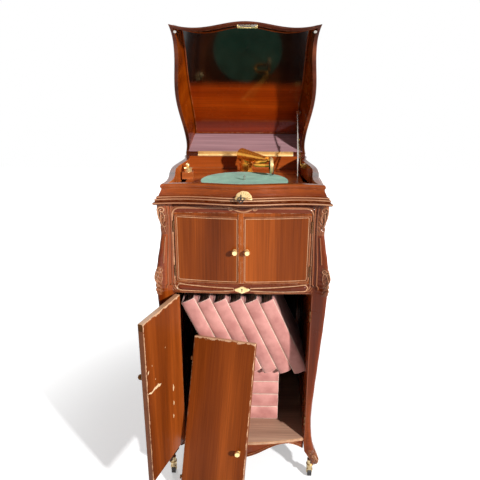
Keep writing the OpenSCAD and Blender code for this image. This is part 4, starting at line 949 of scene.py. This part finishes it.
front = {
    "face": -268, "openHalf": 214, "doorTop": 1019, "doorFoot": 790, "meet": -5, "topDip": 7, "footDip": 9,
    "doorSide": 217, "frameRadii": [3.2, 2.4, 2.4], "frameGap": 7, "frameHalf": 223, "frameCorner": 24,
    "frameFoot": 757, "railZ": 1040, "frameRise": 3.4, "frameSink": 3, "footSag": 2.5, "footEnd": -40,
    "crescentReach": 45, "crescentDrop": (13, 8.06, 3.9), "arcRest": 0.1, "doorArcRest": 0.2,
    "scroll": {"x": 36.72, "drop": 1, "start": 1, "grow": 7, "turn": 7},
    "lozengeHalf": 214, "lozengeZ": 762, "lozengeRise": 9, "lozengeHigh": 11, "plateHalf": 30,
    "lozengeRings": [(0, 0.5), (0, -2), (-1.6, -4.6), (-4, -6.4), (-6.5, -7)],  # grows by, stands out by
    "postRuns": ((0.14, 778, 1046), (0.34, 770, 1050), (0.56, 860, 948)),  # place across, lowest and highest
    "edgeX": 232, "edgeEnds": (168, 742), "meetGap": 5,
    "doorBeads": (("", 2.6, 5, 2.8, "beadWood"), ("Inner", 8, 4, 1.1, "paleEdge")),  # inset, corner, radius, look
}


def dipped(x, half, depth):  # a shallow bow, lowest in the middle
    return -depth * math.cos(math.pi * min(abs(x) / half, 1) / 2)


def arc(x, z, radius, first, last, count):  # angles by the clock: from the top towards +X
    return [(x + radius * math.sin(t), z + radius * math.cos(t)) for t in spread(first, last, count)]


def doorFrame(x0, x1, inset, radius):  # a closed path round one upper door
    f, pi, rest = front, math.pi, front["doorArcRest"]
    a, b = x0 + inset + radius, x1 - inset - radius

    def top(x):
        return f["doorTop"] - inset + dipped(x, f["openHalf"], f["topDip"])

    def foot(x):
        return f["doorFoot"] + inset + dipped(x, f["openHalf"], f["footDip"])

    path = [(x, top(x)) for x in spread(a, b, 24)]
    path += arc(b, top(b + radius) - radius, radius, rest, pi / 2, 6)
    path += arc(b, foot(b + radius) + radius, radius, pi / 2, pi - rest, 6)
    path += [(x, foot(x)) for x in spread(b, a, 24)]
    path += arc(a, foot(a - radius) + radius, radius, pi + rest, pi * 1.5, 6)
    path += arc(a, top(a - radius) - radius, radius, pi * 1.5, pi * 2 - rest, 6)
    return [(x, f["face"], z) for x, z in path]


def frameRun(step):  # round the upper doors and over the crescent, open at the keyhole plate
    f, pi, rest = front, math.pi, front["arcRest"]
    half, radius, reach = f["frameHalf"] + step * f["frameGap"], f["frameCorner"], f["crescentReach"]
    top, low, drop = f["railZ"] + step * f["frameRise"], f["frameFoot"] - step * f["frameSink"], f["crescentDrop"][step]
    left = [(x, low - f["footSag"] * math.sin(pi * min(1, (x + half) / half) ** 2))
            for x in spread(f["footEnd"], radius - half, 20)]
    left += arc(radius - half, low + radius, radius, pi + rest, pi * 1.5, 10)
    left += [(-half, z) for z in spread(low + radius + 6, top - radius - 2, 16)]
    left += arc(radius - half, top - radius, radius, pi * 1.5 + rest, pi * 2, 10)
    left += [(x, top) for x in spread(radius - half + 4, -reach, 10)]
    dip = [(x, top - drop * (1 + math.cos(pi * x / reach)) / 2) for x in spread(-reach * 0.96, reach * 0.96, 21)]
    return [(x, f["face"] + 0.2, z) for x, z in left + dip + [(-x, z) for x, z in reversed(left)]]


def lozenge(side, grow, y):  # one half of the raised figure, from the keyhole plate to its blunt outer end
    f = front
    upper, lower = [], []
    for t in spread(0, 1, 36):
        x = side * mix(f["plateHalf"] - 2, f["lozengeHalf"] + grow, t) + plate["x"] * (1 - t)
        fat = (0.34 + 0.66 * t ** 0.9) * math.sqrt(max(1 - (max(t - 0.95, 0) / 0.05) ** 2, 0.004))
        middle = f["lozengeZ"] + f["lozengeRise"] * t - 3 * math.sin(math.pi * t)
        high = max(f["lozengeHigh"] * fat + grow, 0.6)
        upper.append((x, f["face"] + y, middle + high))
        lower.append((x, f["face"] + y, middle - high))
    return upper + list(reversed(lower))


plate = {
    "x": -1, "z": 761, "half": 25, "high": 8, "swell": 4.5,
    "layers": ((1, 0.4), (1, -3.4), (0.94, -4.4), (0.86, -4.6)),  # size, and how far out
    "hole": 2.6, "slit": [(-1.4, -5.4), (1.4, -5.4), (1, 2), (-1, 2)], "inkLayers": (-4.2, -4.85),
}


def addKeyholePlate():
    p, face = plate, front["face"]
    outline = [(p["half"] * math.copysign(abs(math.cos(t)) ** 1.1, math.cos(t)),
                (p["high"] + p["swell"] * math.cos(2 * t) ** 2) * math.sin(t)) for t in circle(48)]
    hole = [(p["hole"] * math.cos(t), p["hole"] * (1 + math.sin(t))) for t in circle(20)]
    bm = bmesh.new()
    addShell(bm, [[(p["x"] + x * grow, face + y, p["z"] + z * grow) for x, z in outline] for grow, y in p["layers"]])
    for spots in (hole, p["slit"]):
        addShell(bm, [[(p["x"] + x, face + y, p["z"] + z) for x, z in spots] for y in p["inkLayers"]], slot=1)
    addPiece(bm, "keyholePlate", ["paleBrass", "ink"], ["keyhole_plate"])


def addFront():
    f = front
    for name, ends, body in (("upperLeftBeads", (-f["doorSide"], f["meet"] - f["meetGap"]), "upper_left_door"),
                             ("upperRightBeads", (f["meet"] + f["meetGap"], f["doorSide"]), "upper_right_door")):
        for more, inset, corner, radius, look in f["doorBeads"]:
            addBeads(name + more, [(doorFrame(*ends, inset, corner), True)], radius, look, body)
    scrolls, k = [], f["scroll"]
    for side in (-1, 1):
        coil = [(k["start"] + k["grow"] * t, k["turn"] * t) for t in spread(0, 1, 24)]
        scrolls.append(([(side * (k["x"] + radius * math.cos(t)), f["face"] - 0.2,
                          f["railZ"] - k["drop"] + radius * math.sin(t)) for radius, t in coil], False))
    for step, radius in enumerate(f["frameRadii"]):
        runs = [(frameRun(step), False)] + ([] if step else scrolls)
        addBeads("frameBeads%d" % step, runs, radius, "beadWood" if step else "ridgeWood")
    runs = [([legPoint(z, across, 0.4) for z in spread(low, high, 40)], False) for across, low, high in f["postRuns"]]
    for name, side in (("postBeadsLeft", -1), ("postBeadsRight", 1)):
        addBeads(name, runs, 2.5, "beadWood", turn=cornerTurn(side))
    edges = [([(side * f["edgeX"], f["face"] + 0.2, z) for z in spread(*f["edgeEnds"], 30)], False)
             for side in (-1, 1)]
    addBeads("lowerEdgeBeads", edges, 2.6, "trimWood")
    bm = bmesh.new()
    for side in (-1, 1):
        addShell(bm, [lozenge(side, grow, y) for grow, y in f["lozengeRings"]])
    addPiece(bm, "railFigure", ["crossWood"])
    addBeads("railFigureEdge", [(lozenge(side, 0.4, -1.4), True) for side in (-1, 1)], 2.1, "paleEdge")
    addKeyholePlate()
    print("front: 13 pieces")


# bowed shelf and aprons

sill = {
    "half": 229, "face": 268, "bow": 30, "top": 165, "thick": 12, "lipRadius": 5, "backX": 238, "backY": 198,
    "lip": [(0.0, -12), (-2.5, -11), (-4.5, -9), (-5, -6), (-4.5, -3), (-2.5, -1), (0.0, 0.0)],
    "arch": 156, "archLow": 97, "archHigh": 149, "footDrop": 33, "apronTop": 153, "sideX": 250,
    "apronSet": 4, "apronThick": 20, "apronArris": (1.5, 2), "sideDrop": 24, "sideArch": 12,
    "backApron": (256, 105),  # its front and its foot
    "lipBeads": (162.6, 156), "lipOut": 1.2, "lipEnd": 227,
    "apronBeads": ((226, 3, 1, 200), (220, 3.2, 9, 151)),  # end, set back, above the apron's edge, at most
}


def sillY(x):
    return sill["face"] + sill["bow"] * math.cos(math.radians(90 * x / sill["half"]))


def apronZ(x):
    a, s = abs(x), sill
    if a < s["arch"]:
        return s["archLow"] + (s["archHigh"] - s["archLow"]) * (1 - math.cos(math.pi * a / s["arch"])) / 2
    return s["archHigh"] - s["footDrop"] * ((a - s["arch"]) / (s["half"] - s["arch"])) ** 2


def addShelf():
    s = sill
    top, low, half = s["top"], s["top"] - s["thick"], s["half"]
    bm = bmesh.new()
    addShell(bm, [[(x, s["lipRadius"] - sillY(x) + out, top + z) for out, z in s["lip"]]
                  + [(x, s["face"], top), (x, s["face"], low)] for x in spread(-half, half, 61)])
    addBox(bm, (-s["backX"], -s["backY"], low), (s["backX"], s["backY"], top - 0.05))
    addPiece(bm, "shelfBoard", ["shelfWood"], ["bottom_board"])
    bm = bmesh.new()
    top, rows = s["apronTop"], []
    for x in spread(-half, half, 81):
        y, low = s["apronSet"] - sillY(x), min(apronZ(x), s["archHigh"])
        back, (deep, high) = y + s["apronThick"], s["apronArris"]
        rows.append([(x, y + deep, low), (x, y, low + high), (x, y, top), (x, back, top), (x, back, low)])
    addShell(bm, rows)
    for side in (-s["sideX"], s["sideX"]):
        rows = []
        for y in spread(-s["backY"], s["backY"], 41):
            low = top - s["sideDrop"] - s["sideArch"] * math.cos(math.pi * (y / s["backY"] + 1))
            inner = math.copysign(s["backX"], side)
            rows.append([(side, y, low), (side, y, top), (inner, y, top), (inner, y, low)])
        addShell(bm, rows)
    addBox(bm, (-half, *s["backApron"]), (half, s["face"], top))
    addPiece(bm, "apronBoards", ["crossWood"], ["aprons"])
    lips = [([(x, s["lipOut"] - sillY(x), z) for x in spread(-s["lipEnd"], s["lipEnd"], 60)], False)
            for z in s["lipBeads"]]
    addBeads("shelfLip", lips, 2.0, "paleEdge")
    runs = [([(x, out - sillY(x), min(apronZ(x) + up, most)) for x in spread(-end, end, 80)], False)
            for end, out, up, most in s["apronBeads"]]
    addBeads("apronBeads", runs, 1.9, "beadWood")
    print("shelf and aprons: 4 pieces")


# lower doors: boards with a rolled edge, posed as they stand

door = {"x0": 1.5, "x1": 227.2, "z0": 165.6, "z1": 747.4, "front": -268, "back": -248, "roll": 5, "corner": 3}


def doorBoard(bm, x0, x1):  # rounded edges on the outside face, a small arris inside
    d = door
    deep, corner = d["back"] - d["front"], d["corner"]
    edge = [(0.8, deep), (0.0, deep - 0.8), (0.0, d["roll"])]
    edge += [(d["roll"] * (1 - math.cos(t)), d["roll"] * (1 - math.sin(t))) for t in spread(0.3, math.pi / 2, 5)]
    rings = []
    for inset, y in edge:
        inset += corner
        a, b, low, high = x0 + inset, x1 - inset, d["z0"] + inset, d["z1"] - inset
        turns = [(cx, cz, math.radians(first + step)) for cx, cz, first in
                 ((b, high, 0), (a, high, 90), (a, low, 180), (b, low, 270)) for step in (0, 30, 60, 90)]
        rings.append([(cx + corner * math.cos(t), d["front"] + y, cz + corner * math.sin(t)) for cx, cz, t in turns])
    addShell(bm, rings)


scratches = [
    # points (x, z) on the shut left door's inside, and half widths
    ([(-6, 507), (-15, 504), (-25, 499), (-32, 500), (-44, 503), (-54, 500), (-64, 502), (-74, 495), (-82, 497)],
     [0.6, 2.2, 3.4, 2.4, 4.2, 5.0, 5.6, 4.4, 1.0]),
    ([(-10, 573), (-14, 578), (-17, 584)], [1.0, 3.6, 0.8]),
    ([(-156, 418), (-158, 430), (-157, 444)], [1.2, 4.6, 0.8]),
    ([(-155, 362), (-157, 370), (-155, 379)], [0.8, 3.4, 1.0]),
    ([(-149, 313), (-151, 321), (-150, 328)], [0.8, 3.2, 0.8]), ([(-50, 531), (-52, 535)], [1.4, 0.8]),
    ([(-36, 587), (-37, 592)], [1.2, 0.6]), ([(-118, 606), (-119, 611)], [1.2, 0.8]),
]


def addDoors():
    d = door
    for name, node, turn, x0, x1, look in (
            ("lowerLeftDoor", "lower_left_door", leftTurn, -d["x1"], -d["x0"], "leftDoorWood"),
            ("lowerRightDoor", "lower_right_door", rightTurn, d["x0"], d["x1"], "rightDoorWood")):
        bm = bmesh.new()
        doorBoard(bm, x0, x1)
        addPiece(bm, name, [look], [node], node, turn=turn)
    chips = bmesh.new()
    for path, widths in scratches:
        rows = {1: [], -1: []}
        for i, (x, z) in enumerate(path):
            before, after = path[max(i - 1, 0)], path[min(i + 1, len(path) - 1)]
            run = Vector((after[0] - before[0], after[1] - before[1])).normalized()
            for hand, row in rows.items():
                row.append((x - run.y * hand * widths[i], z + run.x * hand * widths[i]))
        outline = rows[1] + rows[-1][::-1]
        part = bmesh.new()
        addRings(part, [[(x, d["back"] + y, z) for x, z in outline] for y in (-0.2, 0.12)])
        moveInto(chips, part, leftTurn)
    addPiece(chips, "scratches", ["chipWood"], (), "lower_left_door")
    print("lower doors: 3 pieces")


# record albums: cloth spines, boards and page edges

albums = {
    "thick": 50, "high": 312, "deep": 300, "angle": 25, "frontY": -200, "base": 390.2, "left": -84.96,
    "pitch": 55.47, "count": 6, "stackWide": 326, "stackRight": 137, "stackThick": 56, "stackFront": -170,
    "stackCount": 4, "stackGap": 0.3, "board": 3.4, "round": 9, "gap": 0.2, "arris": 0.9,
    "leaves": 9, "leafGap": 0.5, "leafFront": 2, "leafBack": 4, "leafFoot": 4, "leafTop": 13, "leafStep": 1.5,
    "seamIn": 0.6, "seamBack": 0.82, "seamEnd": 1.4, "seamRadius": 1.0,
}


def album(bm, pages, thick, high, deep):  # spine towards -Y, standing on z 0 with its left side at x 0
    a = albums
    steps = [math.radians(t) for t in range(-90, 91, 15)]
    half, bulge, board, gap, arris = thick / 2, a["round"], a["board"], a["gap"], a["arris"]
    profile = [(half + (half - gap) * math.sin(t), bulge * (1 - math.cos(t) ** 0.8)) for t in steps]
    profile += [(thick - gap, deep), (thick - gap - board, deep)]
    profile += [(half + (half - gap - board) * math.sin(t), bulge + board - bulge * 0.8 * math.cos(t))
                for t in reversed(steps)]
    profile += [(gap + board, deep), (gap, deep)]
    addShell(bm, [[(mix(x, half, shrink / half), y + shrink * 0.5 if y < bulge else y, z) for x, y in profile]
                  for shrink, z in ((arris, 0), (0, arris), (0, high - arris), (arris, high))])
    inner, count = board + gap + 0.2, a["leaves"]
    for i in range(count):
        x0, x1 = (mix(inner, thick - inner, j / count) for j in (i, i + 1))
        addBox(pages, (x0 + a["leafGap"], bulge + board + a["leafFront"], a["leafFoot"]),
               (x1 - a["leafGap"], deep - a["leafBack"], high - a["leafTop"] - a["leafStep"] * (i % 2)))
    for x in (thick - gap - a["seamIn"], gap + a["seamIn"]):
        seam = [(x, bulge * a["seamBack"], z) for z in spread(a["seamEnd"], high - a["seamEnd"], 8)]
        addTube(pages, seam, [a["seamRadius"]] * 8, sides=8)


def addAlbums():
    a = albums
    covers, pages = bmesh.new(), bmesh.new()
    lean, flat = (Matrix.Rotation(math.radians(angle), 4, "Y") for angle in (-a["angle"], 90))
    books = [(a["thick"], a["high"], Matrix.Translation((a["left"] + a["pitch"] * i, a["frontY"], a["base"])) @ lean)
             for i in range(a["count"])]
    for i in range(a["stackCount"]):
        place = (a["stackRight"] - a["stackWide"], a["stackFront"],
                 sill["top"] + a["stackThick"] * (i + 1) + a["stackGap"] * i)
        books.append((a["stackThick"], a["stackWide"], Matrix.Translation(place) @ flat))
    for thick, high, place in books:
        book, leaves = bmesh.new(), bmesh.new()
        album(book, leaves, thick, high, a["deep"])
        moveInto(covers, book, place)
        moveInto(pages, leaves, place)
    addPiece(covers, "albumCovers", ["albumCloth"], ["record_albums"])
    addPiece(pages, "albumPages", ["paper"])
    print("albums: 2 pieces")


# fittings: sound box, lock plate, key rings, needle cup's lid and the stay's knob

soundBox = {
    "place": (88.5, 18, 1124.5), "looks": ["darkKey", "paleBrass", "paper"],
    "rounds": [
        # look, sides, (radius, distance) pairs along X
        (0, 40, [(0.01, 0), (12, 0), (13, 0.8), (14, 2.4), (26, 2.8), (28, 4), (28, 4.6), (0.01, 4.7)]),
        (1, 40, [(0.01, 4), (29, 4), (30, 5), (30, 10.6), (29, 11.8), (24, 12.2), (0.01, 12.3)]),
        (1, 40, [(20, 12), (25, 12), (26, 13.2), (25.4, 14.8), (23, 15.6), (20, 15.2)]),
        (2, 40, [(0.01, 12.2), (21, 12.2), (21, 13), (0.01, 13.1)]),
        (1, 16, [(0.01, 13), (3, 13), (3, 15.4), (0.01, 15.6)]),
    ],
}
lock = {
    "x": 3.5, "z": 1078.6, "radius": 25, "flat": 0.92, "lobe": 1.1, "rays": 9, "rayEnds": (9, 22.5), "out": -2.2,
    "grow": [(1072, 17.5), (1082, 14), (1086, 7), (1090, 5), (1098, 1), (1106, 0)],  # height, and out from the rim
    "layers": ((0.6, 1), (-1.6, 1), (-2.2, 0.94)),
}
# painted shadow: dark rings of the key's bow, left of and below the keyhole, shaped like the key's cast shadow
keyShadowRings = {"radius": 4.6, "bead": 1.7, "y": -339.2, "centres": ((-9.2, 1086), (1.2, 1086), (-4, 1079))}
cupLid = {
    "place": (-212, 61, 1094),
    "knob": [(0.01, 0), (2, 0), (2, 14), (3, 15), (6, 17), (8, 21), (7.6, 25), (5, 28.6), (0.01, 30)],
    "lid": [(2, 9), (15.6, 9.4), (17, 10.8), (15.6, 12.4), (9, 14), (2, 14.4)],
}
stayKnob = {"place": (205.5, 249, 1296.5),
            "profile": [(0.01, -7), (4.4, -5.4), (6.4, -1.6), (6.4, 1.6), (4.4, 5.4), (0.01, 7)]}


def plateSpot(x, z, out=lock["out"]):  # from the middle of the lock plate's foot, on the case's front
    x, z = lock["x"] + x, lock["z"] + z
    return x, out - rimY(x) - smoothLine(lock["grow"], z), z


def addLock():
    k = lock
    turns = [math.pi * (i + 0.5) / k["rays"] for i in range(k["rays"])]
    rays = [([plateSpot(r * math.cos(t), r * k["flat"] * math.sin(t)) for r in spread(*k["rayEnds"], 6)], False)
            for t in turns]
    arch = [plateSpot(7 * math.cos(t), 6.5 * math.sin(t)) for t in spread(0, math.pi, 16)]
    addBeads("lockPlateRays", rays + [(arch, False)], 0.85, "dullBrass", sides=8)
    fan = [(-k["radius"], 0), (k["radius"], 0)]
    for t in spread(0, math.pi, 25)[1:-1]:
        grow = k["radius"] + k["lobe"] * abs(math.sin(4.5 * t))
        fan.append((grow * math.cos(t), grow * k["flat"] * math.sin(t)))
    bm = bmesh.new()
    addShell(bm, [[plateSpot(x * size, z * size + (1 - size) * 8, out) for x, z in fan] for out, size in k["layers"]])
    addPiece(bm, "lockPlate", ["paleBrass"], ["lid_lock"])


def addFittings():
    bm = bmesh.new()
    for slot, sides, profile in soundBox["rounds"]:
        addLathe(bm, profile, along((1, 0, 0), soundBox["place"]), slot, sides)
    addPiece(bm, "soundBox", soundBox["looks"], ["sound_box"], "gooseneck")
    addLock()
    k = keyShadowRings
    rings = [([(x + k["radius"] * math.cos(t), k["y"], z + k["radius"] * math.sin(t)) for t in circle(19)], True)
             for x, z in k["centres"]]
    addBeads("keyBowShadow", rings, k["bead"], "darkKey", "lid_key")
    bm = bmesh.new()
    for profile, sides in ((cupLid["knob"], 24), (cupLid["lid"], 32)):
        addLathe(bm, profile, Matrix.Translation(cupLid["place"]), sides=sides)
    addPiece(bm, "cupLid", ["knobBrass"])
    bm = bmesh.new()
    addLathe(bm, stayKnob["profile"], along((1, 0, 0), stayKnob["place"]), sides=24)
    addPiece(bm, "stayKnob", ["blockWood"], body="lid_stay_rod", recalc=True)
    print("fittings: 6 pieces")


for add in (addPosts, addCarving, addTopCase, addLid, addFront, addShelf, addDoors, addAlbums, addFittings):
    add()

# CAD pieces that keep their own shape; the casters are told by the start of their names

plainLooks = {
    "innerWood": ["back_panel", "divider_board", "sound_chamber"], "deckWood": ["motor_board"],
    "crossWood": ["lower_rail", "top_rail"], "uprightWood": ["side_panels"], "blockWood": ["needle_block"],
    "doorWood": ["upper_left_door", "upper_right_door"], "japan": ["horn_throat", "motor_frame", "needle_arm"],
    "brass": ["winding_escutcheon", "stay_bracket", "stay_arm", "spring_barrel", "governor"],
    "armBrass": ["tonearm_base", "tonearm_tube", "gooseneck"], "casterBrass": ["caster_sockets"],
    "knobBrass": ["needle_cup"], "hingeMetal": ["case_hinges"], "paleBrass": ["lid_hinge_leaf"],
    "nickel": ["lid_fittings", "stay_rod", "turntable", "spindle", "winding_shaft", "brake_lever"],
    "upperLeftMetal": ["upper_left_fittings"], "upperRightMetal": ["upper_right_fittings"],
    "darkBrass": ["lower_left_fittings"], "lowerRightMetal": ["lower_right_fittings"],
    "felt": ["turntable_felt"], "darkKey": ["lid_key"],
}
casterLooks = {"caster_horn": "casterBrass", "caster_wheel": "japan"}


def dressCad():
    looks = {name: look for look, names in plainLooks.items() for name in names}
    for name, obj in nodes.items():
        look = next((look for start, look in casterLooks.items() if name.startswith(start)), looks.get(name))
        if look and not obj.hide_render:
            obj.data.materials.clear()
            obj.data.materials.append(materials[look])
    print("CAD pieces dressed")


dressCad()
scene.view_settings.view_transform = "Standard"
